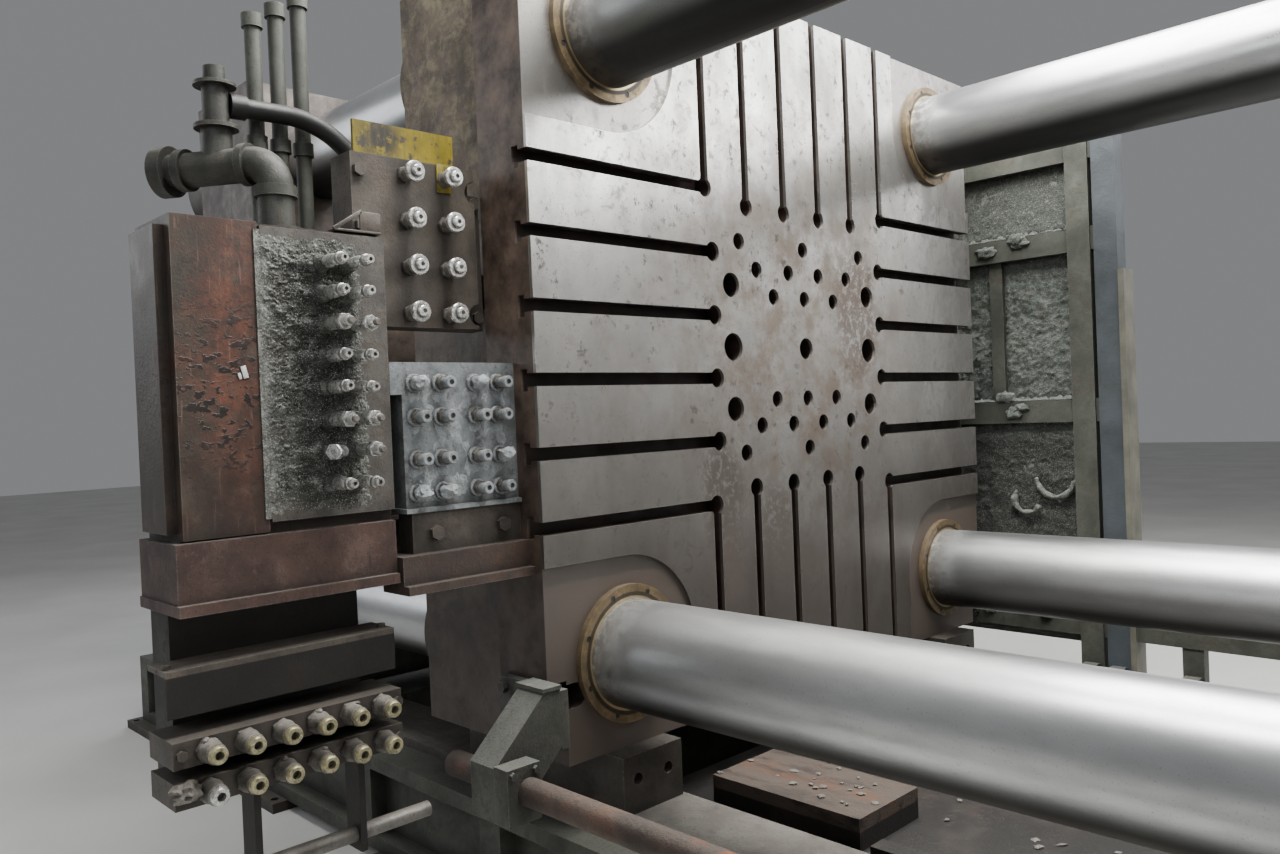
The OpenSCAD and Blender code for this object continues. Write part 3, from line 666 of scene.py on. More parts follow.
def bed_rust_oil_and_shade(g: Graph, c: Coats) -> None:
    """Lays rust and dry dust along the rest block, and black oil with painted shade in the tray below it.

    Args:
        g: The material's graph.
        c: Its coats so far.
    """
    top = g.times(g.beyond(Axis.Z, TRAY_TOP), g.within(Axis.Y, -0.72, -0.3))
    c.coat(g.times(top, g.blotch(50, 0.6, 0.1, detail=8, rough=0.7, stretch=(3, 1, 1)), 0.7), "#4f443c", 0.8)
    c.coat(
        g.times(
            top, g.within(Axis.Y, -0.56, -0.49, 0.02), g.blotch(36, 0.5, 0.1, detail=8, stretch=(3, 1, 1)),
            0.6,
        ),
        "#5a3a27", 0.85,
    )
    # Black oil in the tray, darkened further as painted shade.
    tray = g.times(g.invert(g.beyond(Axis.Z, TRAY_TOP)), g.blotch(230, 0.78, 0.14, detail=8))
    c.coat(g.times(tray, 0.88), "#0c0a09", 0.5)


def shade_under_angle(g: Graph, c: Coats) -> None:
    """Paints shade where the parts lie in shadow: the leaf of the angle bar, the hand bar's hangers, the
    lower rails.

    Args:
        g: The material's graph.
        c: Its coats so far.
    """
    # Painted shade: near black on the leaf and below the lower rail, fainter on the rails.
    leaf = g.times(
        g.within(Axis.Z, *ANGLE_LEAF_Z), g.within(Axis.X, -0.104, -0.088), g.within(Axis.Y, -2.14, -1.6),
    )
    under = g.times(g.invert(g.beyond(Axis.Z, LOWER_RAIL_Z[0])), g.within(Axis.Y, -2.0, -1.68))
    c.coat(g.times(g.most(leaf, under), 0.9), "#0e0b09", 0.6)
    rails = g.times(g.within(Axis.Z, *LOWER_RAIL_Z), g.within(Axis.Y, -2.16, -1.55))
    c.coat(g.times(rails, 0.4), "#1d1916", 0.55)


def sand_and_lime(g: Graph, c: Coats) -> None:
    """Lays the pale dry deposit on the upper part of the ribbed casting behind the face, dark blotches, and a
    darkening towards the bottom.

    Args:
        g: The material's graph.
        c: Its coats so far.
    """
    high = g.times(
        g.band(g.axis(Axis.Z), AXIS_Z - 0.1, AXIS_Z + 0.75, (0.15, 1.0)), g.beyond(Axis.X, RIB_FRAME_BACK),
    )
    c.coat(g.times(high, g.blotch(120, 0.55, 0.12, detail=9, rough=0.72)), "#665c50", 0.85)
    c.coat(g.times(high, g.blotch(75, 0.42, 0.1, detail=10, rough=0.78, warp=0.4), 0.75), "#8b836d", 0.85)
    c.coat(g.times(g.blotch(150, 0.4, 0.12, detail=9, rough=0.7, warp=0.4), 0.7), "#261e1a", 0.6)
    # Darker towards the bottom of the casting.
    c.coat(g.times(g.invert(g.band(g.axis(Axis.Z), AXIS_Z - 0.9, AXIS_Z - 0.35)), 0.6), "#1d1613", 0.5)


def post_colours(g: Graph, c: Coats) -> None:
    """Lays the blue-grey of the last guard post and the beige of the cladding below it.

    Args:
        g: The material's graph.
        c: Its coats so far.
    """
    last = g.times(
        g.beyond(Axis.X, LAST_POST_X[0] + 8.5 * MM), g.within(Axis.Y, *GUARD_POST_Y),
        g.within(Axis.X, *LAST_POST_X),
    )
    c.coat(g.times(last, 0.75), g.ramp(g.noise(160, 6), (0.35, "#30363c"), (0.65, "#454c54")), 0.5)
    clad = g.times(
        g.within(Axis.X, CLADDING_X, LAST_POST_X[1]), g.within(Axis.Y, *GUARD_POST_Y),
        g.invert(g.beyond(Axis.Z, CLADDING_TOP)),
    )
    c.coat(g.times(clad, 0.8), g.ramp(g.noise(120, 6), (0.35, "#56554a"), (0.65, "#757265")), 0.6)


@dataclass(frozen=True)
class BoxFace(Finish):
    """Old red-brown primer on the valve box, rusted through in one glow and spotted with burnt oil, with
    painted highlights on its edges and painted shade in its corners.
    """

    def material(self) -> bpy.types.Material:
        """Builds the material.

        Returns:
            The material.
        """
        g = Graph(self.name)
        cloud = g.noise(260, 6, 0.6, 0.5)
        c = Coats(
            g, g.ramp(cloud, (0.34, "#251c18"), (0.66, "#40322b")), g.band(cloud, 0.3, 0.7, (0.56, 0.38)),
            0.0,
        )
        c.coat(g.times(g.blotch(70, 0.34, 0.12, detail=9, rough=0.74), 0.6), "#584a41", 0.5)
        glow = g.times(
            g.near((-0.1, -1.95, AXIS_Z - 0.02), 0.02, 0.3, (0.3, 1.3, 0.62)),
            g.blotch(64, 0.5, 0.12, detail=9, rough=0.72),
        )
        c.coat(g.times(glow, 0.75), g.ramp(g.noise(18, 7, 0.7), (0.3, "#43241a"), (0.72, "#78412a")), 0.7)
        c.coat(
            g.times(g.blotch(110, 0.4, 0.1, detail=9, rough=0.72, warp=0.5, stretch=(1, 1, 1.6)), 0.55),
            "#2a1e19", 0.5,
        )
        c.coat(
            g.times(g.invert(g.band(g.axis(Axis.Y), -2.08, -1.98)), g.blotch(80, 0.6, 0.12, detail=8), 0.6),
            "#37352e", 0.5,
        )
        c.coat(g.times(g.runs(9, 160, 0.12, 0.05), 0.4), "#7f5f50", 0.6)
        spots = g.times(
            g.near((-0.1, -1.97, AXIS_Z - 0.12), 0.05, 0.24, (0.3, 1, 0.8)),
            g.blotch(15, 0.34, 0.035, detail=6, stretch=(1, 1.6, 1)),
        )
        c.coat(spots, "#1a1310", 0.5)
        c.coat(g.times(g.blotch(4, 0.1, 0.04), 0.6), "#1d1512", 0.6)
        # Painted highlight on the edges.
        c.coat(g.times(g.edges(4), 0.6), "#7c6a60", 0.5)
        # Painted shade in corners and gaps.
        c.coat(g.times(g.cavity(60), 0.7), "#15100d", 0.6)
        c.coat(g.times(g.upward(), g.blotch(30, 0.6), 0.7), "#6d675f", 0.92)
        return c.done(g.math("ADD", g.noise(6, 6, 0.66), g.times(spots, 0.8)), 0.7)


@dataclass(frozen=True)
class ChippedEnamel(Finish):
    """Yellow enamel over steel, chipped and smeared with black grease in the middle."""

    def material(self) -> bpy.types.Material:
        """Builds the material.

        Returns:
            The material.
        """
        g = Graph(self.name)
        c = Coats(g, g.ramp(g.noise(70, 5), (0.35, "#6b5f14"), (0.65, "#8f7f20")), 0.42, 0.0)
        c.coat(g.blotch(34, 0.3, 0.03, detail=9, rough=0.7), "#39332b", 0.7)
        smear = g.times(
            g.near((-0.19, -1.52, AXIS_Z + 0.53), 0.02, 0.09, (0, 1, 1)), g.blotch(20, 0.7, 0.1, detail=7),
        )
        c.coat(smear, "#26221e", 0.55)
        c.coat(g.times(g.runs(9, 90, 0.3), 0.5), "#57502f", 0.6)
        c.coat(g.times(g.edges(3), 0.7), "#5a5448", 0.6)
        return c.done(g.noise(5, 5), 0.4)


def guard_dark_bay_and_top_shade(g: Graph) -> Value:
    """Gives the darker lower bay of the guard and, fainter, painted shade on its top."""
    low = g.invert(g.band(g.axis(Axis.Z), 1.3, 1.42))
    return g.most(g.times(low, 0.78), g.times(g.band(g.axis(Axis.Z), 1.9, 2.4), 0.62))


def plate_shade_round_fittings(g: Graph) -> Value:
    """Gives the stretch round the two columns of fittings on the valve box that is darkened as painted shade
    between the fittings.
    """
    return g.times(g.within(Axis.Y, -1.83, -1.66, 0.03), g.blotch(30, 0.75, 0.16, detail=6), 0.8)


@dataclass(frozen=True)
class Crust(Finish):
    """Caked aluminium and release-agent dust: dry, lumpy and mottled, with painted shade in its folds.

    Attributes:
        dark: Darker end of its mottled tone.
        light: Lighter end of its mottled tone.
        dark_part_and_shade: Gives the mask of its darkened part, partly painted shade, or None.
    """

    dark: str
    light: str
    dark_part_and_shade: Optional[Callable[[Graph], Value]] = None

    def material(self) -> bpy.types.Material:
        """Builds the material.

        Returns:
            The material.
        """
        g = Graph(self.name)
        c = Coats(g, g.ramp(g.noise(24, 8, 0.7), (0.32, self.dark), (0.68, self.light)), 0.9, 0.0)
        # Painted shade in the folds and gaps.
        c.coat(g.times(g.cavity(22), 0.95), "#1d1b17", 0.95)
        c.coat(g.times(g.blotch(60, 0.25, 0.08), 0.5), "#4e4a41", 0.95)
        if self.dark_part_and_shade is not None:
            # Darkened part given by the mask, partly painted shade.
            c.coat(self.dark_part_and_shade(g), "#23241f", 0.88)
        c.coat(g.times(g.blotch(3, 0.2, 0.05), 0.5), "#b9bab6", 0.6)
        return c.done(g.math("ADD", g.noise(3, 7, 0.7), g.cells(7)), 1.6)


@dataclass(frozen=True)
class Plated(Finish):
    """Bright zinc plating on turned fittings, with blotches of grease, painted shade in its hollows and
    painted highlights on its rims.
    """

    def material(self) -> bpy.types.Material:
        """Builds the material.

        Returns:
            The material.
        """
        g = Graph(self.name)
        c = Coats(
            g, g.ramp(g.noise(16, 5), (0.3, "#bdbdb9"), (0.7, "#ededea")),
            g.band(g.noise(8), 0.3, 0.7, (0.22, 0.36)), 0.88,
        )
        c.coat(g.times(g.blotch(12, 0.22, 0.07, detail=7), 0.75), "#57514a", 0.62, 0.2)
        # Painted shade in the hollows.
        c.coat(g.times(g.cavity(9), 0.8), "#211d1a", 0.7, 0.0)
        # Painted highlight on the rims.
        c.coat(g.times(g.edges(0.8), 0.6), "#efefec", 0.3, 0.9)
        return c.done(g.noise(1.6, 4), 0.06)


@dataclass(frozen=True)
class BrassMouth(Finish):
    """Dulled brass at the mouths of the lower couplings, with painted shade in its hollows."""

    def material(self) -> bpy.types.Material:
        """Builds the material.

        Returns:
            The material.
        """
        g = Graph(self.name)
        c = Coats(g, g.ramp(g.noise(14, 5), (0.3, "#8a8468"), (0.7, "#c8c19f")), 0.42, 0.8)
        c.coat(g.times(g.blotch(12, 0.3, 0.08, detail=7), 0.7), "#3c362c", 0.65, 0.1)
        # Painted shade in the hollows.
        c.coat(g.times(g.cavity(8), 0.8), "#15120f", 0.7, 0.0)
        return c.done(g.noise(1.6, 4), 0.06)


FINISHES: dict[str, Finish] = {
    # Milled platen steel, bright where it is wiped and brown where it is stained.
    "moving_platen": MilledFace("milled_platen_steel_stained", -1.0, 0.0),
    # The same steel on the fixed platen, whose die face looks the other way.
    "fixed_platen": MilledFace("milled_platen_steel_fixed", 1.0, DAYLIGHT),
    # Ground bar steel: long soft highlights against the dull machine.
    "ground_bar": GroundBar("ground_tie_bar_steel"),
    # Old primer, burnt and rusted through: the warm field of the operator side.
    "box_face": BoxFace("red_brown_primer_burnt_and_rusted"),
    # Chipped enamel: the one bright colour.
    "yellow_strip": ChippedEnamel("chipped_yellow_enamel"),
    # Caked dust round the fittings of the valve box: grey scales against the red box.
    "crust_plate": Crust("caked_dust_on_face_plate", "#42423e", "#858681", plate_shade_round_fittings),
    # Caked dust on the far guard: a dull grey-green ground behind the bright bars.
    "crust_guard": Crust("caked_dust_on_guard", "#434943", "#6b716c", guard_dark_bay_and_top_shade),
    # The same dust on the hose hooks, paler, so that they stand out of the darker lower bay.
    "crust_hook": Crust("caked_dust_on_hose_hooks", "#4b504a", "#7f857c"),
    # Dried release agent: a chalky pale skin.
    "residue": Crust("dried_release_agent", "#74797c", "#a7acae"),
    # Bright zinc plating: small sharp highlights in the grime, partly painted on the rims.
    "plated": Plated("bright_zinc_plated_fittings"),
    # Dulled brass: warm rings at the mouths of the lower couplings.
    "brass_mouth": BrassMouth("dull_brass_mouths"),
    # Dark greasy casting paint: the face behind stays in shade and lets the milled steel shine.
    "painted_casting": Weathered(
        "greasy_brown_casting_paint", "#382e29", "#665a51", "#54443a", 0.25, rough=0.45, extra=sand_and_lime,
    ),
    # Turned bronze: the warm rings that mark the guide bushes.
    "bronze": Weathered(
        "turned_bronze_ring", "#7d6c52", "#b49d78", "#4a3e30", 0.24, rough=0.36, metal=0.9, bare_and_lit="#d6c49c",
        edge=2, cloud=60, grain=3, depth=0.15, dust_share=0, extra=ring_lips,
    ),
    # Oiled black steel: nuts, shoes and plates that are handled but never painted.
    "dark_steel": Weathered(
        "oiled_forged_steel", "#26231f", "#48443e", rust_share=0.2, rough=0.45, metal=0.4,
    ),
    # Blue-grey hydraulic paint: sets the drive apart from the brown castings.
    "painted_blue": Weathered(
        "worn_hydraulic_blue_grey_paint", "#3a444b", "#58656d", rust_share=0.14, rough=0.42,
    ),
    # Grey-green structural paint, dulled by casting dust: recedes behind the steel.
    "painted_frame": Weathered(
        "worn_machine_grey_green_paint", "#33362f", "#53564e", "#423a31", 0.28, rough=0.6, dust="#6d6d66",
        extra=post_colours,
    ),
    # Planed steel under oil: the rails that the shoes wipe.
    "rail_steel": Weathered(
        "planed_rail_steel_under_oil", "#5a5753", "#96938e", "#4c3f37", 0.24, rough=0.4, metal=0.7,
    ),
    # Rusted plate that once was painted: brown patches on the carriers, the foot plates and the rod.
    "rusty_plate": Weathered(
        "rusted_plate_with_old_paint", "#261d19", "#4b3d35", "#513628", 0.36, rough=0.62, cloud=260, grain=7,
        depth=1.2, dust_share=0.2, extra=rod_rust,
    ),
    # Planks and tray of the bed: soaked in oil and darkened further as painted shade, so that the milled
    # steel stands out above them.
    "soaked_shaded_bed": Weathered(
        "oil_soaked_bed_plates_painted_shade", "#130f0d", "#2c231e", "#4e2f1e", 0.3, rough=0.55, cloud=150, grain=6,
        depth=1.4, dust="#4a433c", dust_share=0.3, extra=bed_rust_oil_and_shade,
    ),
    # Sheet under caked dust: a dull ground, seen only between the crusts.
    "crusted_panel": Weathered(
        "panel_under_aluminium_dust", "#565a55", "#83877f", "#454740", 0.35, rough=0.9, edge=0, cloud=180,
        grain=16, depth=6.0,
    ),
    # Blackened steel with a brown oil film: dark blocks that set off the bright nipples, with painted shade
    # under the angle bar.
    "manifold_steel": Weathered(
        "blackened_manifold_steel", "#37322e", "#635c54", "#4a3b32", 0.3, rough=0.48, metal=0.2,
        extra=shade_under_angle,
    ),
    # Bare grey face plate under a dull film: cooler than the red box round it.
    "face_plate": Weathered(
        "bare_grey_face_plate_steel", "#403d3a", "#67645f", "#4a3e36", 0.35, rough=0.48, metal=0.2, cloud=110,
    ),
    # Manifold under dried release agent: pale blue-grey with white drips.
    "coated_manifold": Weathered(
        "manifold_under_release_agent", "#656a6c", "#a3a8ab", "#4a4846", 0.28, rough=0.66, cloud=90, grain=6,
        depth=1.0,
    ),
    # Zinc-plated steel of the smaller fittings: a softer shine than on the flanges.
    "coupling_zinc": Weathered(
        "zinc_plated_turned_steel", "#8f8f8b", "#cfcfca", "#4a4038", 0.15, rough=0.3, metal=0.85, edge=1,
        cloud=30, grain=2, depth=0.1,
    ),
    # Dirty collars: a grey-brown film that keeps the feet of the fittings dull.
    "dirty_collar": Weathered(
        "fitting_collar_under_grease", "#4b4741", "#8a867f", "#4e463c", 0.3, rough=0.6, metal=0.2, edge=1,
        cloud=26, grain=3, depth=0.5,
    ),
    # Worn brass of the lower couplings: dull yellow between the brown rails.
    "coupling_brass": Weathered(
        "worn_turned_brass", "#5e5646", "#8f8468", "#4a4032", 0.2, rough=0.4, metal=0.6, edge=1, cloud=30,
        grain=2, depth=0.1,
    ),
    # Maroon enamel, scuffed on the ledge: a red-brown band under the box.
    "maroon_paint": Weathered("scuffed_maroon_paint", "#30221f", "#544039", "#5e4a42", 0.25, rough=0.46),
    # Near-black panel below the box: painted shade that reads as deep shadow.
    "black_panel": Weathered(
        "lower_panel_painted_shade", "#0d0b0a", "#1b1613", "#211712", 0.3, rough=0.5, edge=0,
    ),
    # Grey casting of the rod clamp, with grease and painted shade in its hollows: cooler than the rusty rod.
    "grey_casting": Weathered(
        "grey_painted_clamp_casting", "#2b2c29", "#4b4c46", "#3a342d", 0.3, rough=0.52, cloud=120, grain=6,
        depth=1.2, dust="#6f706a", dust_share=0.4,
    ),
    # Black hose rubber with grey dust on top, which shows its roundness.
    "hose_rubber": Weathered(
        "dusty_hydraulic_hose_rubber", "#0f1011", "#1c1d1e", "#2b2926", 0.2, rough=0.48, edge=0, cloud=80,
        grain=2.2, depth=0.25, dust="#434341", dust_share=0.25,
    ),
    # Iron pipe under oily dust: grey-green, darker than the boxes round it.
    "pipe_iron": Weathered(
        "iron_pipe_under_oily_dust", "#272824", "#484943", "#453e35", 0.3, rough=0.5, metal=0.1, cloud=110,
        grain=5, depth=0.8, dust="#62625c",
    ),
    # White enamel of the loose tag: the one white spot on the box.
    "white_tag": Weathered(
        "white_enamel_tag", "#b9bab8", "#e4e4e1", "#8d8880", 0.15, rough=0.5, edge=0, cloud=20, grain=2,
        depth=0.1,
    ),
    # Flash and chips of aluminium that fell on the bed: small pale glints.
    "scrap": Weathered(
        "cast_aluminium_flash_scrap", "#4f4d49", "#85837e", "#4a3e35", 0.35, rough=0.6, metal=0.4, edge=1,
        cloud=20, grain=2, depth=0.2,
    ),
}
# Materials made so far, by finish.
MADE: dict[str, bpy.types.Material] = {}
# CAD nodes that don't take the finish of their material slot.
OWN_FINISH: dict[str, str] = {
    "moving_platen": "moving_platen",
    "fixed_platen": "fixed_platen",
    "valve_box": "box_face",
    "valve_face_plate": "face_plate",
    "lower_panel": "black_panel",
    "pipe_run": "pipe_iron",
    "bed_tray": "soaked_shaded_bed",
    "rest_block": "soaked_shaded_bed",
}


def finish(name: str) -> bpy.types.Material:
    """Gives a finish's material, made once.

    Args:
        name: Key of the finish.

    Returns:
        The material.
    """
    if name not in MADE:
        MADE[name] = FINISHES[name].material()
    return MADE[name]


def dress_frame() -> None:
    """Gives every CAD node the finish of its material slot, or its own."""
    slots = {part["node"]: part["material_slot"] for part in frame["record"]["subparts"]}
    for node, obj in frame["nodes"].items():
        material = finish(OWN_FINISH.get(node, slots[node]))
        obj.data.materials.clear()
        obj.data.materials.append(material)
        log.info("finish %s on %s", material.name, node)


def lathe(profile: Sequence[tuple[float, float]], steps: int = 28) -> bmesh.types.BMesh:
    """Turns a closed solid about the x axis.

    Args:
        profile: Place along the axis and radius in mm; the ends lie on the axis.
        steps: Sides of the round.

    Returns:
        The solid, on the origin.
    """
    bm = bmesh.new()
    verts = [bm.verts.new((along * MM, 0, radius * MM)) for along, radius in profile]
    edges = [bm.edges.new(pair) for pair in zip(verts, verts[1:])]
    bmesh.ops.spin(
        bm, geom=verts + edges, cent=(0, 0, 0), axis=(1, 0, 0), angle=math.tau, steps=steps, use_merge=True,
    )
    bmesh.ops.remove_doubles(bm, verts=bm.verts, dist=1e-6)
    bmesh.ops.recalc_face_normals(bm, faces=bm.faces)
    return bm


def nut(across: float, low: float, high: float) -> bmesh.types.BMesh:
    """Makes a hexagon with broken edges along the x axis, in mm.

    Args:
        across: Width across flats.
        low: Its near end.
        high: Its far end.

    Returns:
        The solid.
    """
    bm = bmesh.new()
    place = Matrix.Translation(((low + high) / 2 * MM, 0, 0)) @ Matrix.Rotation(math.pi / 2, 4, "Y")
    radius = across / 2 / math.cos(math.pi / 6) * MM
    bmesh.ops.create_cone(
        bm, cap_ends=True, segments=6, radius1=radius, radius2=radius, depth=(high - low) * MM, matrix=place,
    )
    bmesh.ops.bevel(
        bm, geom=bm.edges[:], offset=1.2 * MM, segments=1, profile=0.5, affect="EDGES", material=-1,
    )
    bmesh.ops.recalc_face_normals(bm, faces=bm.faces)
    return bm


def block(low: Sequence[float], high: Sequence[float], broken: float) -> bmesh.types.BMesh:
    """Makes a box with rounded edges, corners in metres and rounding in mm.

    Args:
        low: Its lower corner.
        high: Its upper corner.
        broken: Rounding of its edges.

    Returns:
        The solid.
    """
    bm = bmesh.new()
    middle = [(a + b) / 2 for a, b in zip(low, high)]
    size = [b - a for a, b in zip(low, high)]
    bmesh.ops.create_cube(bm, size=1.0, matrix=Matrix.Translation(middle) @ Matrix.Diagonal((*size, 1.0)))
    bmesh.ops.bevel(
        bm, geom=bm.edges[:], offset=broken * MM, segments=2, profile=0.5, affect="EDGES", material=-1,
    )
    bmesh.ops.recalc_face_normals(bm, faces=bm.faces)
    return bm


def lump(size: Sequence[float], seed: float, rough: float = 0.35, level: int = 3) -> bmesh.types.BMesh:
    """Makes a caked lump about the origin.

    Args:
        size: Half sizes in mm.
        seed: Which shape of the noise it takes.
        rough: Depth of its folds as a share of its size.
        level: Subdivision of the ball.

    Returns:
        The lump.
    """
    bm = bmesh.new()
    bmesh.ops.create_icosphere(bm, subdivisions=level, radius=1.0)
    for vert in bm.verts:
        swell = 1 + rough * noise.fractal(vert.co * 1.7 + Vector((seed, seed * 0.7, 0)), 0.9, 2.1, 4)
        vert.co = Vector([c * s * MM for c, s in zip(vert.co * swell, size)])
    bmesh.ops.recalc_face_normals(bm, faces=bm.faces)
    return bm


def caked(
    spot: Callable[[float, float], Vector], cells: tuple[int, int], outward: Vector,
) -> bmesh.types.BMesh:
    """Makes a caked layer from a height field, with its rim turned back into the wall.

    Args:
        spot: Point of the layer for shares 0 to 1 of its width and height.
        cells: Cells across and up.
        outward: Way that the layer looks.

    Returns:
        The layer.
    """
    bm = bmesh.new()
    bmesh.ops.create_grid(bm, x_segments=cells[0], y_segments=cells[1], size=0.5)
    for vert in bm.verts:
        vert.co = spot(vert.co.x + 0.5, vert.co.y + 0.5)
    rim = [edge for edge in bm.edges if edge.is_boundary]
    back = bmesh.ops.extrude_edge_only(bm, edges=rim)["geom"]
    bmesh.ops.translate(
        bm, vec=outward * -CRUST_RIM, verts=[v for v in back if isinstance(v, bmesh.types.BMVert)],
    )
    bmesh.ops.recalc_face_normals(bm, faces=bm.faces)
    tilt = sum(face.normal.dot(outward) * face.calc_area() for face in bm.faces)
    if tilt < 0:
        bmesh.ops.reverse_faces(bm, faces=bm.faces)
    return bm


class Piece:
    """One new object, gathered from solids that each have their own finish."""

    def __init__(self, name: str, body: Body, slot: str, *instead_of: str) -> None:
        """Starts an empty piece.

        Args:
            name: Object name.
            body: CAD body that it rides on.
            slot: Material slot of the record that it belongs to; kept on the piece but not used.
            *instead_of: CAD nodes that it stands for.
        """
        self.name = name
        self.body = body.value
        self.slot = slot
        self.instead_of = instead_of
        self.bm = bmesh.new()
        self.finishes: list[str] = []

    def add(
        self, solid: bmesh.types.BMesh, finish_name: str, place: Optional[Matrix] = None, smooth: bool = True,
    ) -> None:
        """Adds one solid and frees it.

        Args:
            solid: The solid.
            finish_name: Its finish.
            place: Where it goes.
            smooth: Whether its rounds are shaded round.
        """
        if finish_name not in self.finishes:
            self.finishes.append(finish_name)
        index = self.finishes.index(finish_name)
        for face in solid.faces:
            face.material_index = index
            face.smooth = smooth
        if place is not None:
            bmesh.ops.transform(solid, matrix=place, verts=solid.verts)
        mesh = bpy.data.meshes.new("solid")
        solid.to_mesh(mesh)
        solid.free()
        self.bm.from_mesh(mesh)
        bpy.data.meshes.remove(mesh)

    def done(self, crease: float = 38) -> None:
        """Turns the piece into an object on its body.

        Args:
            crease: Angle in degrees above which an edge stays sharp.
        """
        mesh = bpy.data.meshes.new(self.name)
        self.bm.to_mesh(mesh)
        self.bm.free()
        mesh.set_sharp_from_angle(angle=math.radians(crease))
        for name in self.finishes:
            mesh.materials.append(finish(name))
        obj = bpy.data.objects.new(self.name, mesh)
        bpy.context.collection.objects.link(obj)
        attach(obj, self.body)
        if self.instead_of:
            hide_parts(*self.instead_of)
        log.info("piece %s: %d faces", self.name, len(mesh.polygons))


def turned(x: float, y: float, up: float, roll: float = 0.0) -> Matrix:
    """Gives a place from the machine axis, rolled about x by some degrees."""
    return Matrix.Translation((x, y, AXIS_Z + up)) @ Matrix.Rotation(math.radians(roll), 4, "X")


@dataclass(frozen=True)
class Round:
    """One turned length of a fitting.

    Attributes:
        finish: Its finish.
        profile: Place along the axis and radius in mm; the ends lie on the axis.
        steps: Sides of the round.
    """

    finish: str
    profile: tuple[tuple[float, float], ...]
    steps: int = 28

    def add_to(self, piece: Piece, at: Matrix) -> None:
        """Adds it to a piece at a fitting's place."""
        piece.add(lathe(self.profile, self.steps), self.finish, at)


@dataclass(frozen=True)
class Hexagon:
    """One hexagon of a fitting, in mm.

    Attributes:
        finish: Its finish.
        across: Width across flats.
        low: Its near end along the axis.
        high: Its far end along the axis.
    """

    finish: str
    across: float
    low: float
    high: float

    def add_to(self, piece: Piece, at: Matrix) -> None:
        """Adds it to a piece at a fitting's place."""
        piece.add(nut(self.across, self.low, self.high), self.finish, at, False)


Fitting = tuple[Union[Round, Hexagon], ...]


def assemble(piece: Piece, fitting: Fitting, at: Matrix) -> None:
    """Adds the solids of one fitting to a piece.

    Args:
        piece: Piece that gathers the solids.
        fitting: Its solids, in order.
        at: Place of the fitting.
    """
    for solid in fitting:
        solid.add_to(piece, at)


@dataclass
class SmallManifoldNipples:
    """Flanged nipples of the small manifold: dirty body, bright flange, nose with a bore.

    Attributes:
        front: x of the manifold's front in metres.
        columns: y of the columns.
        top: Height of the first row above the machine axis.
        pitch: Pitch of the rows.
        rows: Number of rows.
        nipple: Hexagon, body and bored flange of one nipple.
    """

    front: float = -0.19
    columns: tuple[float, ...] = (-1.458, -1.341)
    top: float = 0.444
    pitch: float = 0.12
    rows: int = 4
    nipple: Fitting = (
        Hexagon("dirty_collar", 40, 0, 16),
        Round("dirty_collar", ((12, 0), (12, 19), (30, 19), (33, 17.5), (48, 17.5), (48, 0))),
        Round(
            "plated",
            (
                (45, 0), (45, 24), (47, 27), (57, 27), (60, 24.5), (60, 19), (58, 18.6), (58, 15.5),
                (70, 14.5), (72, 12.5), (72, 6), (66, 5.5), (64, 0),
            ),
            36,
        ),
    )

    def build(self, rng: random.Random) -> None:
        """Makes the bank of nipples.

        Args:
            rng: Source of the seeded draws.
        """
        piece = Piece("small_manifold_nipples", Body.MOVING, "coupling_zinc", "small_couplings")
        for row in range(self.rows):
            for y in self.columns:
                assemble(
                    piece, self.nipple, turned(
                        self.front, y, self.top - row * self.pitch, rng.uniform(0, 60),
                    ),
                )
        piece.done()


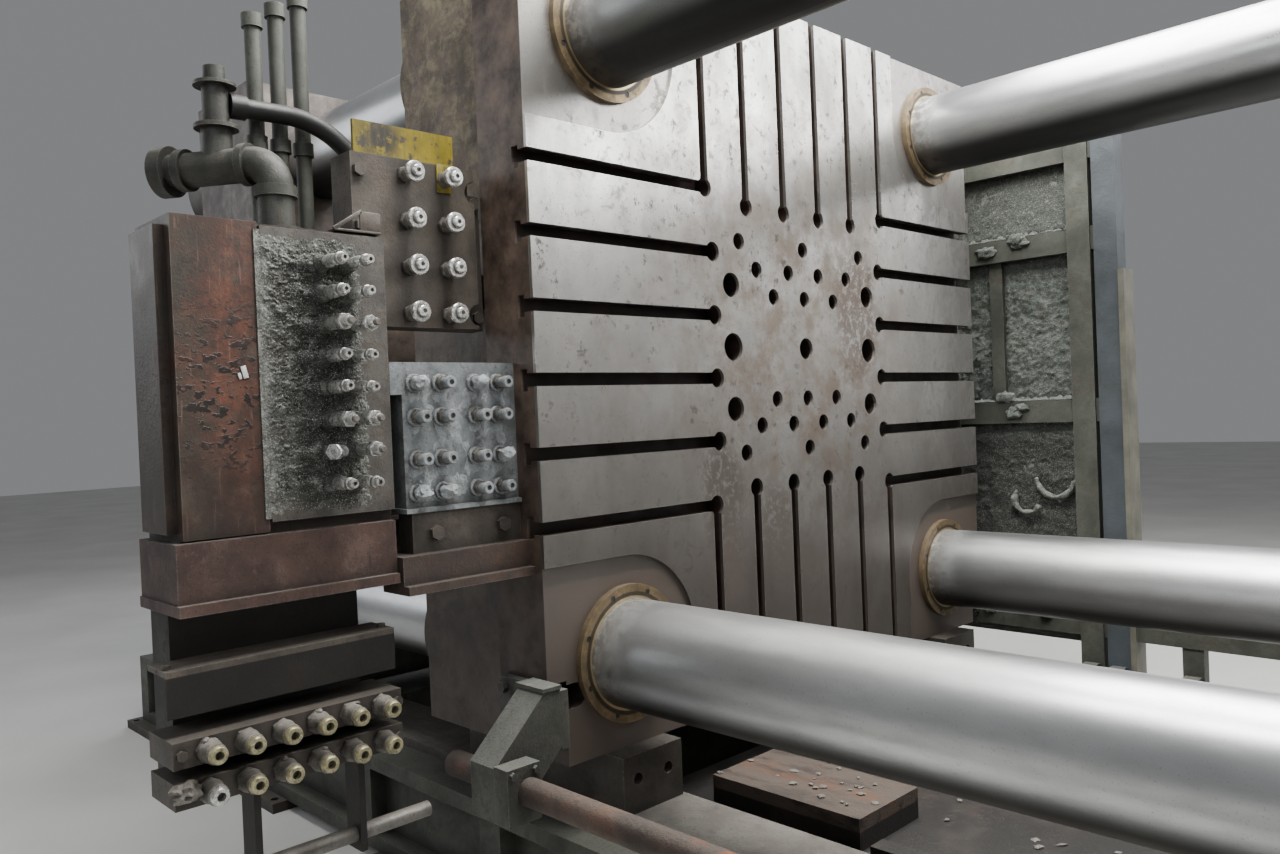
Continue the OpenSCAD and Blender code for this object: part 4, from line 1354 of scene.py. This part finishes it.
@dataclass
class BigManifoldNipples:
    """Screwed nipples of the big manifold, some of them buried in dried release agent.

    Attributes:
        front: x of the manifold's front in metres.
        columns: y of the columns.
        rows: Heights of the rows from the machine axis.
        buried: Column and row of the buried ones.
        seat: Caked foot and hexagon of each nipple.
        nose: Open end of the nipples that aren't buried.
        lump_size: Half sizes in mm of the lump over a buried one.
        cake_y: y of the cake's outer rim and its width.
        cake_z: Height of the cake's lower rim from the machine axis and how tall it is.
    """

    front: float = -0.1
    columns: tuple[float, ...] = (-1.516, -1.440, -1.335, -1.262)
    rows: tuple[float, ...] = (-0.103, -0.188, -0.294, -0.378)
    buried: tuple[tuple[int, int], ...] = ((3, 2), (0, 3), (1, 3), (0, 0), (2, 0))
    seat: Fitting = (
        Round("residue", ((0, 0), (0, 24), (9, 23), (12, 19), (12, 0))),
        Hexagon("dirty_collar", 34, 11, 27),
    )
    nose: Fitting = (
        Round(
            "coated_manifold",
            ((25, 0), (25, 14.5), (44, 13.5), (47, 16), (57, 16), (60, 14), (60, 7), (54, 6), (54, 0)),
        ),
    )
    lump_size: tuple[float, float, float] = (26, 21, 19)
    cake_y: tuple[float, float] = (-1.547, 0.342)
    cake_z: tuple[float, float] = (-0.414, 0.362)

    def build(self, rng: random.Random) -> None:
        """Makes the bank of nipples and the cake on it.

        Args:
            rng: Source of the seeded draws.
        """
        piece = Piece("big_manifold_nipples", Body.MOVING, "coupling_zinc", "big_couplings")
        for i, y in enumerate(self.columns):
            for j, z in enumerate(self.rows):
                at = turned(self.front, y + rng.uniform(-0.003, 0.003), z, rng.uniform(0, 60))
                assemble(piece, self.seat, at)
                if (i, j) in self.buried:
                    over = at @ Matrix.Translation((0.034, 0, 0))
                    piece.add(lump(self.lump_size, i * 3.1 + j * 5.7, 0.3), "residue", over)
                else:
                    assemble(piece, self.nose, at)
        piece.done()
        cake = Piece("release_agent_on_big_manifold", Body.MOVING, "coated_manifold")
        cake.add(caked(self._cake, (110, 120), Vector((1, 0, 0))), "residue")
        cake.done(CRUST_CREASE)

    def _cake(self, u: float, v: float) -> Vector:
        """Gives one point of the cake, thicker round the nipples and below them.

        Args:
            u: Share of the width.
            v: Share of the height.

        Returns:
            Point of the layer.
        """
        y, z = self.cake_y[0] + self.cake_y[1] * u, self.cake_z[0] + self.cake_z[1] * v
        rim = min(u, 1 - u, v, 1 - v) * 9
        grow = noise.fractal(Vector((0, y * 26, z * 15)), 0.9, 2.1, 5) * 0.5 + 0.15
        grow += 0.5 * max(0.0, 0.12 - v) / 0.12
        beside = max(0.0, max(1 - abs(y - cy) / 0.022 for cy in self.columns))
        below = max(0.0, max(1 - abs(z - cz + 0.022) / 0.03 for cz in self.rows))
        high = min(1.0, max(0.0, rim)) * (max(0.0, grow) * 0.0055 + beside * below * 0.005)
        return Vector((self.front - 0.0012 + high, y, AXIS_Z + z))


@dataclass
class LowerCouplings:
    """Tapered couplings with ring mouths on the two lower rails.

    Attributes:
        front: x of the rails' front in metres.
        first: y of the first coupling.
        pitch: Pitch along the rail.
        count: Couplings on each rail.
        rails: Heights of the rails from the machine axis.
        pale: Coupling and rail of the one with a plated mouth.
        body: Hexagon and taper of each coupling.
        mouth: Profile of the ring mouth in mm.
    """

    front: float = -0.06
    first: float = -2.07
    pitch: float = 0.081
    count: int = 6
    rails: tuple[float, float] = (-0.87, -0.955)
    pale: tuple[int, int] = (0, 1)
    body: Fitting = (
        Hexagon("dirty_collar", 48, 0, 12),
        Round(
            "dirty_collar",
            ((10, 0), (10, 25), (16, 26), (20, 24), (44, 21), (48, 22.5), (52, 21), (52, 0)), 32,
        ),
    )
    mouth: tuple[tuple[float, float], ...] = (
        (50, 0), (50, 20.5), (63, 19), (66, 17), (66, 9.5), (58, 9), (50, 8.5), (50, 0),
    )

    def build(self, rng: random.Random) -> None:
        """Makes both rows.

        Args:
            rng: Source of the seeded draws.
        """
        piece = Piece("lower_rail_couplings", Body.MOVING, "coupling_brass", "lower_couplings")
        for j, z in enumerate(self.rails):
            for i in range(self.count):
                at = turned(self.front, self.first + i * self.pitch, z, rng.uniform(0, 60))
                assemble(piece, self.body, at)
                metal = "plated" if (i, j) == self.pale else "brass_mouth"
                piece.add(lathe(self.mouth, 32), metal, at)
                if rng.random() < 0.5:
                    crumb = at @ Matrix.Translation((0.014, 0.012, 0.022))
                    piece.add(lump((9, 8, 5), i + j * 9.3, 0.4, 2), "dirty_collar", crumb)
        end = turned(self.front + 0.012, self.first - 0.052, self.rails[1] + 0.012)
        piece.add(lump((26, 30, 20), 4.4, 0.5), "dirty_collar", end)
        piece.done()


@dataclass
class ValveBoxFittings:
    """Plated nipples on the face plate of the valve box, each in a cone of caked dust.

    Attributes:
        front: x of the plate's front in metres.
        columns: y of the two columns.
        top: Height of the first row above the machine axis.
        pitch: Pitch of the rows.
        rows: Number of rows.
        nutted: Column and row of those that end in union nuts.
        elbow: Column and row of the elbow.
        cone: Caked dust round each foot.
        stem: Straight body of a nipple.
        union: End with a union nut.
        plug: End with a plug.
        elbow_foot: Foot of the elbow.
        elbow_head: Head of the elbow, whose nut looks at the operator's side.
        elbow_turn: Turn of the head in degrees.
        elbow_reach: Distance of the head's middle from the plate.
    """

    front: float = -0.096
    columns: tuple[float, float] = (-1.754, -1.690)
    top: float = 0.178
    pitch: float = 0.073
    rows: int = 8
    nutted: tuple[tuple[int, int], ...] = ((0, 2), (1, 2), (0, 5), (1, 5), (1, 6))
    elbow: tuple[int, int] = (0, 6)
    cone: Fitting = (Round("crust_plate", ((-2, 0), (-2, 24), (8, 22), (24, 19), (42, 15), (44, 0))),)
    stem: Fitting = (
        Round(
            "plated",
            (
                (40, 0), (40, 12.5), (44, 14.6), (52, 15.4), (74, 15.4), (84, 13.4), (92, 12), (94, 10),
                (94, 0),
            ),
        ),
    )
    union: Fitting = (
        Hexagon("plated", 34, 93, 119),
        Round("plated", ((118, 0), (118, 12), (136, 11.5), (139, 9.5), (139, 5), (130, 4), (130, 0))),
        Round("dirty_collar", ((138, 0), (138, 8), (146, 8), (150, 6), (150, 0))),
    )
    plug: Fitting = (
        Round(
            "coupling_zinc",
            ((93, 0), (93, 9), (98, 9), (98, 13), (102, 14.6), (110, 14), (112, 11), (112, 0)),
        ),
        Round("plated", ((111, 0), (111, 11.5), (125, 11), (128, 9), (128, 4.5), (120, 4), (120, 0))),
    )
    elbow_foot: Fitting = (Round("coupling_zinc", ((40, 0), (40, 14), (78, 14), (86, 9), (88, 0))),)
    elbow_head: Fitting = (
        Round("coupling_zinc", ((0, 0), (0, 13), (30, 13), (30, 0))),
        Hexagon("plated", 34, 28, 44),
        Round("plated", ((43, 0), (43, 13), (46, 12), (46, 6), (38, 5), (38, 0))),
    )
    elbow_turn: float = -52
    elbow_reach: float = 0.072

    def build(self, rng: random.Random) -> None:
        """Makes both columns.

        Args:
            rng: Source of the seeded draws.
        """
        piece = Piece("valve_box_nipples", Body.MOVING, "coupling_zinc", "box_fittings")
        for row in range(self.rows):
            for column, y in enumerate(self.columns):
                z = self.top - row * self.pitch + rng.uniform(-0.002, 0.002)
                at = turned(self.front, y, z, rng.uniform(0, 60))
                assemble(piece, self.cone, at)
                if (column, row) == self.elbow:
                    assemble(piece, self.elbow_foot, at)
                    middle = Matrix.Translation((self.front + self.elbow_reach, y, AXIS_Z + z))
                    turn = Matrix.Rotation(math.radians(self.elbow_turn), 4, "Z")
                    assemble(piece, self.elbow_head, middle @ turn)
                else:
                    assemble(piece, self.stem, at)
                    assemble(piece, self.union if (column, row) in self.nutted else self.plug, at)
        piece.done()


@dataclass
class FacePlateCrust:
    """Caked dust on the valve box face plate, swept back in tails from the fittings.

    Attributes:
        front: x of the plate's front in metres.
        side: y of its outer and inner rim.
        height: z of its lower and upper rim from the machine axis.
        tail: Length of a tail behind its fitting.
        fittings: The fittings that it gathers round.
    """

    front: float = -0.096
    side: tuple[float, float] = (-1.906, -1.632)
    height: tuple[float, float] = (-0.405, 0.245)
    tail: float = 0.1
    fittings: ValveBoxFittings = field(default_factory=ValveBoxFittings)

    def build(self) -> None:
        """Makes the crust."""
        piece = Piece("crust_on_valve_face_plate", Body.MOVING, "manifold_steel")
        piece.add(caked(self._layer, (150, 330), Vector((1, 0, 0))), "crust_plate")
        piece.done(CRUST_CREASE)

    def _layer(self, u: float, v: float) -> Vector:
        """Gives one point of the crust.

        Args:
            u: Share of the width.
            v: Share of the height.

        Returns:
            Point of the layer.
        """
        y = self.side[0] + (self.side[1] - self.side[0]) * u
        z = self.height[0] + (self.height[1] - self.height[0]) * v
        scales = abs(noise.fractal(Vector((0, y * 70 + z * 9, z * 84)), 0.75, 2.1, 5))
        lumps = noise.fractal(Vector((3, y * 34, z * 36)), 0.9, 2.0, 4)
        high = 0.003 + 0.009 * scales + 0.007 * max(0.0, lumps) + 0.017 * self._tails(y, z)
        return Vector((self.front - 0.001 + self._rim(u, v, y, z) * high, y, AXIS_Z + z))

    def _rim(self, u: float, v: float, y: float, z: float) -> float:
        """Gives how far a point is inside the crust's ragged rim.

        Args:
            u: Share of the width.
            v: Share of the height.
            y: Place across the machine.
            z: Height from the machine axis.

        Returns:
            0 at the rim to 1 well inside.
        """
        lean = 0.035 * v
        wave = 0.1 * noise.fractal(Vector((0, y * 9, z * 9)), 1, 2, 3)
        cut = 1 - math.hypot(max(0.0, 0.14 - u) / 0.14, max(0.0, abs(v - 0.5) - 0.44) / 0.06)
        edge = 0.035 * noise.noise(Vector((5, 0, z * 9)))
        rim = min((u - 0.02 + edge) * 9, (1 - u - lean) * 3.2, v * 9, (1 - v) * 9, cut * 2) + wave
        return min(1.0, max(0.0, rim))

    def _tails(self, y: float, z: float) -> float:
        """Gives the height of the tails that trail behind the fittings.

        Args:
            y: Place across the machine.
            z: Height from the machine axis.

        Returns:
            0 between the tails to 1 at a fitting.
        """
        rows = [self.fittings.top - i * self.fittings.pitch for i in range(self.fittings.rows)]
        tail = 0.0
        for cy in self.fittings.columns:
            along = (cy + 0.012 - y) / self.tail
            if 0 < along < 1:
                near = max(max(0.0, 1 - abs(z - cz) / (0.026 * (1.1 - along * 0.6))) for cz in rows)
                tail = max(tail, near * (1 - along) ** 0.7)
        return tail


@dataclass
class GuardCrust:
    """Caked casting dust on the far guard: on its panel, its rails and in hooks at the lower bay.

    Attributes:
        panel_y: y of the panel's inner side in metres.
        across: x of the panel's free width.
        up: z of the crusted part of the panel.
        rails: z of the rail tops that carry a ridge.
        lumps: Loose lumps along the rails.
        hooks: x, z, radius, first and last angle in degrees of each caked hose hook.
    """

    panel_y: float = 1.56
    across: tuple[float, float] = (-0.652, 0.297)
    up: tuple[float, float] = (0.58, 2.53)
    rails: tuple[float, ...] = (0.58, 1.506, 2.24)
    lumps: int = 16
    hooks: tuple[tuple[float, float, float, int, int], ...] = (
        (0.2, 1.16, 0.085, 185, 350), (0.07, 1.06, 0.06, 150, 330),
    )

    def build(self, rng: random.Random) -> None:
        """Makes the crusts.

        Args:
            rng: Source of the seeded draws.
        """
        piece = Piece("crust_on_guard", Body.FRAME, "crusted_panel")
        piece.add(caked(self._panel, (150, 300), Vector((0, -1, 0))), "crust_guard")
        for index, top in enumerate(self.rails):
            ridge = partial(self._ridge, top, index)
            piece.add(caked(ridge, (160, 10), Vector((0, 0, 1))), "crust_guard")
        for _ in range(self.lumps):
            x = rng.uniform(-0.3, 0.28)
            z = rng.choice(self.rails) + rng.uniform(-0.06, 0.03)
            size = (rng.uniform(16, 44), rng.uniform(10, 20), rng.uniform(12, 34))
            at = Matrix.Translation((x, self.panel_y - 0.052, z))
            piece.add(lump(size, rng.uniform(0, 50), 0.5), "crust_guard", at)
        for hook in self.hooks:
            self._hook(piece, *hook)
        piece.done(CRUST_CREASE)

    def _x(self, u: float) -> float:
        """Gives x for a share of the width."""
        return self.across[0] + (self.across[1] - self.across[0]) * u

    def _panel(self, u: float, v: float) -> Vector:
        """Gives one point of the panel's crust.

        Args:
            u: Share of the width.
            v: Share of the height.

        Returns:
            Point of the layer.
        """
        x, z = self._x(u), self.up[0] + (self.up[1] - self.up[0]) * v
        folds = noise.fractal(Vector((x * 20, 0, z * 22)), 0.75, 2.1, 6)
        grit = abs(noise.fractal(Vector((x * 60, 3, z * 60)), 0.7, 2.1, 4))
        sweep = noise.fractal(Vector((x * 5, 7, z * 5)), 1, 2, 3)
        low = min(1.0, max(0.15, 1.3 - abs(z - 1.55) * 1.1))
        high = max(0.0, 0.3 + 0.34 * folds + 0.5 * sweep + 0.55 * grit) * 0.02 * low
        return Vector((x, self.panel_y + 0.001 - high, z))

    def _ridge(self, top: float, index: int, u: float, v: float) -> Vector:
        """Gives one point of a rail's ridge.

        Args:
            top: Height of the rail's top.
            index: Which rail, for folds of its own.
            u: Share of the width.
            v: Share of the height.

        Returns:
            Point of the layer.
        """
        x, y = self._x(u), self.panel_y - 0.05 + 0.05 * v
        folds = noise.fractal(Vector((x * 34, y * 40, index * 5.0)), 0.8, 2.1, 4)
        high = max(0.0, 0.5 + folds) * 0.018 * min(1.0, 0.3 + v * 1.4)
        return Vector((x, y, top - 0.001 + high))

    def _hook(self, piece: Piece, x: float, z: float, radius: float, first: int, last: int) -> None:
        """Adds one caked hose hook as a bow of lumps.

        Args:
            piece: Piece that gathers the solids.
            x: x of the bow's middle in metres.
            z: z of the bow's middle in metres.
            radius: Radius of the bow in metres.
            first: Angle in degrees where it starts.
            last: Angle in degrees before which it ends.
        """
        for angle in range(first, last, 5):
            turn = math.radians(angle)
            along, up = radius * math.cos(turn), radius * math.sin(turn)
            at = Matrix.Translation((x + along, self.panel_y - 0.035, z + up))
            thick = 13 + 7 * noise.noise(Vector((x * 9, turn * 2.2, 1)))
            piece.add(lump((thick, thick + 3, thick), x * 31 + turn, 0.45, 2), "crust_hook", at)


@dataclass
class BedScrap:
    """Flash and chips of cast aluminium that lie on the bed tray, the planks and the platen foot.

    Attributes:
        tray: x and y range and height of the tray.
        plank: x and y range and height of the rest block.
        under_plank: x and y range that the rest block covers.
        count: Pieces of scrap.
    """

    tray: tuple[float, float, float, float, float] = (0.05, 1.15, -0.74, 0.7, 0.351)
    plank: tuple[float, float, float, float, float] = (0.1, 0.59, -0.66, -0.39, 0.437)
    under_plank: tuple[float, float, float, float] = (0.08, 1.19, -0.71, -0.37)
    count: int = 110

    def build(self, rng: random.Random) -> None:
        """Scatters the scrap.

        Args:
            rng: Source of the seeded draws.
        """
        piece = Piece("aluminium_scrap_on_bed", Body.FRAME, "rusty_plate")
        left, right, near, far = self.under_plank
        for index in range(self.count):
            x0, x1, y0, y1, z = self.plank if index % 5 == 0 else self.tray
            x, y = rng.uniform(x0, x1), rng.uniform(y0, y1)
            if z < TRAY_TOP and left < x < right and near < y < far:
                continue
            size = (rng.uniform(4, 16), rng.uniform(3, 11), rng.uniform(1, 3.5))
            turn = Matrix.Rotation(rng.uniform(0, math.tau), 4, "Z")
            at = Matrix.Translation((x, y, z + size[2] * 0.7 * MM)) @ turn
            piece.add(lump(size, rng.uniform(0, 90), 0.6, 2), "scrap", at, False)
        piece.done()


@dataclass
class SmallTrim:
    """Enamel tag, yellow corner plate and bracket that sit on the operator side.

    Attributes:
        tag: x, y and height from the machine axis of the tag's middle.
        tag_parts: Lower and upper corner of the tag's two halves.
        corner: Lower and upper corner of the corner plate, from the machine axis.
        bracket_top: Height of the valve box's top from the machine axis.
        bracket_parts: Lower and upper corner of the bracket's two plates, from the box's top.
        stay: Place of the bracket's stay, from the box's top.
        stay_size: Half sizes of the stay.
    """

    tag: Corner = (-0.0985, -1.939, -0.075)
    tag_parts: tuple[tuple[Corner, Corner], ...] = (
        ((-0.0015, -0.006, -0.014), (0.0015, 0.006, 0.014)),
        ((-0.0015, -0.016, -0.013), (0.0012, -0.009, 0.001)),
    )
    corner: tuple[Corner, Corner] = ((-0.1895, -1.362, 0.41), (-0.1835, -1.318, 0.486))
    bracket_top: float = 0.262
    bracket_parts: tuple[tuple[Corner, Corner], ...] = (
        ((-0.15, -1.705, 0), (-0.1, -1.585, 0.006)),
        ((-0.106, -1.64, 0.005), (-0.1, -1.585, 0.052)),
    )
    stay: Corner = (-0.103, -1.672, 0.028)
    stay_size: Corner = (0.003, 0.045, 0.005)

    def build(self) -> None:
        """Makes the trim."""
        tag = Piece("valve_box_tag", Body.MOVING, "yellow_strip")
        tilt = turned(*self.tag, 14)
        for low, high in self.tag_parts:
            tag.add(block(low, high, 0.8), "white_tag", tilt, False)
        tag.done()
        plate = Piece("yellow_corner_plate", Body.MOVING, "yellow_strip")
        plate.add(block(*self.corner, 1.5), "yellow_strip", turned(0, 0, 0), False)
        plate.done()
        bracket = Piece("bracket_on_valve_box_top", Body.MOVING, "manifold_steel")
        for low, high in self.bracket_parts:
            bracket.add(block(low, high, 1.5), "manifold_steel", turned(0, 0, self.bracket_top), False)
        x, y, up = self.stay
        lean = turned(x, y, self.bracket_top + up, 33)
        stay_low = [-half for half in self.stay_size]
        bracket.add(block(stay_low, self.stay_size, 1.5), "manifold_steel", lean, False)
        bracket.done()


@dataclass
class PhotoCamera:
    """Camera placed where the photograph was taken from.

    Attributes:
        place: Its place in metres.
        right: Way of the picture's right side.
        up: Way of the picture's upper side.
        back: Way from the machine to the camera.
        lens: Focal length in mm.
        sensor: Sensor width in mm.
        reach: How far it sees, in metres.
    """

    place: Corner = (2.0876, -2.8510, 1.5142)
    right: Corner = (0.69621192, 0.71663149, -0.04157247)
    up: Corner = (0.02023891, 0.03829428, 0.99906153)
    back: Corner = (0.71755093, -0.69639993, 0.01215709)
    lens: float = 28.03
    sensor: float = 36
    reach: float = 200

    def build(self) -> None:
        """Makes the camera and looks through it."""
        data = bpy.data.cameras.new("photo_camera")
        data.sensor_width = self.sensor
        data.lens = self.lens
        data.clip_end = self.reach
        camera = bpy.data.objects.new("photo_camera", data)
        turn = Matrix((self.right, self.up, self.back)).transposed().to_4x4()
        camera.matrix_world = Matrix.Translation(self.place) @ turn
        bpy.context.collection.objects.link(camera)
        bpy.context.scene.camera = camera


@dataclass(frozen=True)
class SoftLight:
    """One soft studio light.

    Attributes:
        name: Light name.
        at: Its place in metres.
        aim: Point it looks at.
        size: Width and height in metres.
        watts: Power.
        colour: sRGB hex colour.
    """

    name: str
    at: Corner
    aim: Corner
    size: tuple[float, float]
    watts: float
    colour: str = "#eef1f5"

    def build(self) -> None:
        """Hangs the light."""
        data = bpy.data.lights.new(self.name, "AREA")
        data.shape = "RECTANGLE"
        data.size, data.size_y = self.size
        data.energy = self.watts
        data.color = linear(self.colour)[:3]
        light = bpy.data.objects.new(self.name, data)
        look = (Vector(self.aim) - Vector(self.at)).to_track_quat("-Z", "Y")
        light.matrix_world = Matrix.Translation(self.at) @ look.to_matrix().to_4x4()
        bpy.context.collection.objects.link(light)


@dataclass
class Studio:
    """Pale floor, soft sky and lights round the machine.

    Attributes:
        floor: Side of the floor in metres, as the grid operator takes it.
        sky: sRGB hex colour of the surroundings.
        sky_strength: Strength of the surroundings.
        lights: The soft lights.
    """

    floor: float = 30
    sky: str = "#dfe1e4"
    sky_strength: float = 0.3
    lights: tuple[SoftLight, ...] = (
        SoftLight("key_overhead", (0.75, 0.0, 4.5), (0.75, 0.01, 1.0), (2.0, 4.0), 690, "#fbfaf6"),
        SoftLight("window_over_far_side", (4.4, 4.4, 4.6), (0.0, -0.4, 2.3), (3.6, 2.0), 300, "#f4f5f6"),
        SoftLight("fill_operator_side", (3.6, -5.2, 4.2), (0.2, -0.6, 1.5), (4.0, 3.0), 105),
        SoftLight("rim_from_rear", (-4.5, 3.5, 4.8), (-0.5, 0, 1.5), (4.0, 3.0), 220),
        SoftLight("fill_behind_operator_side", (-6.0, -4.5, 3.6), (-2.2, -0.6, 1.4), (4.0, 3.0), 90),
    )

    def build(self) -> None:
        """Makes the floor, the surroundings and the lights."""
        mesh = bpy.data.meshes.new("studio_floor")
        bm = bmesh.new()
        bmesh.ops.create_grid(bm, x_segments=1, y_segments=1, size=self.floor)
        bm.to_mesh(mesh)
        bm.free()
        floor = bpy.data.objects.new("studio_floor", mesh)
        bpy.context.collection.objects.link(floor)
        g = Graph("pale_studio_floor")
        shade = g.ramp(g.noise(900, 5), (0.3, "#bdbcb9"), (0.7, "#cbcac7"))
        mesh.materials.append(Coats(g, shade, 0.75).done(g.noise(4, 3), 0.1))
        world = bpy.data.worlds.new("studio")
        world.use_nodes = True
        sky = world.node_tree.nodes["Background"]
        sky.inputs[0].default_value = linear(self.sky)
        sky.inputs[1].default_value = self.sky_strength
        bpy.context.scene.world = world
        for light in self.lights:
            light.build()


def main() -> None:
    """Builds the whole scene."""
    dress_frame()
    rng = random.Random(SEED)
    SmallManifoldNipples().build(rng)
    BigManifoldNipples().build(rng)
    LowerCouplings().build(rng)
    ValveBoxFittings().build(rng)
    FacePlateCrust().build()
    GuardCrust().build(rng)
    BedScrap().build(rng)
    SmallTrim().build()
    PhotoCamera().build()
    Studio().build()


if __name__ == "__main__":
    main()
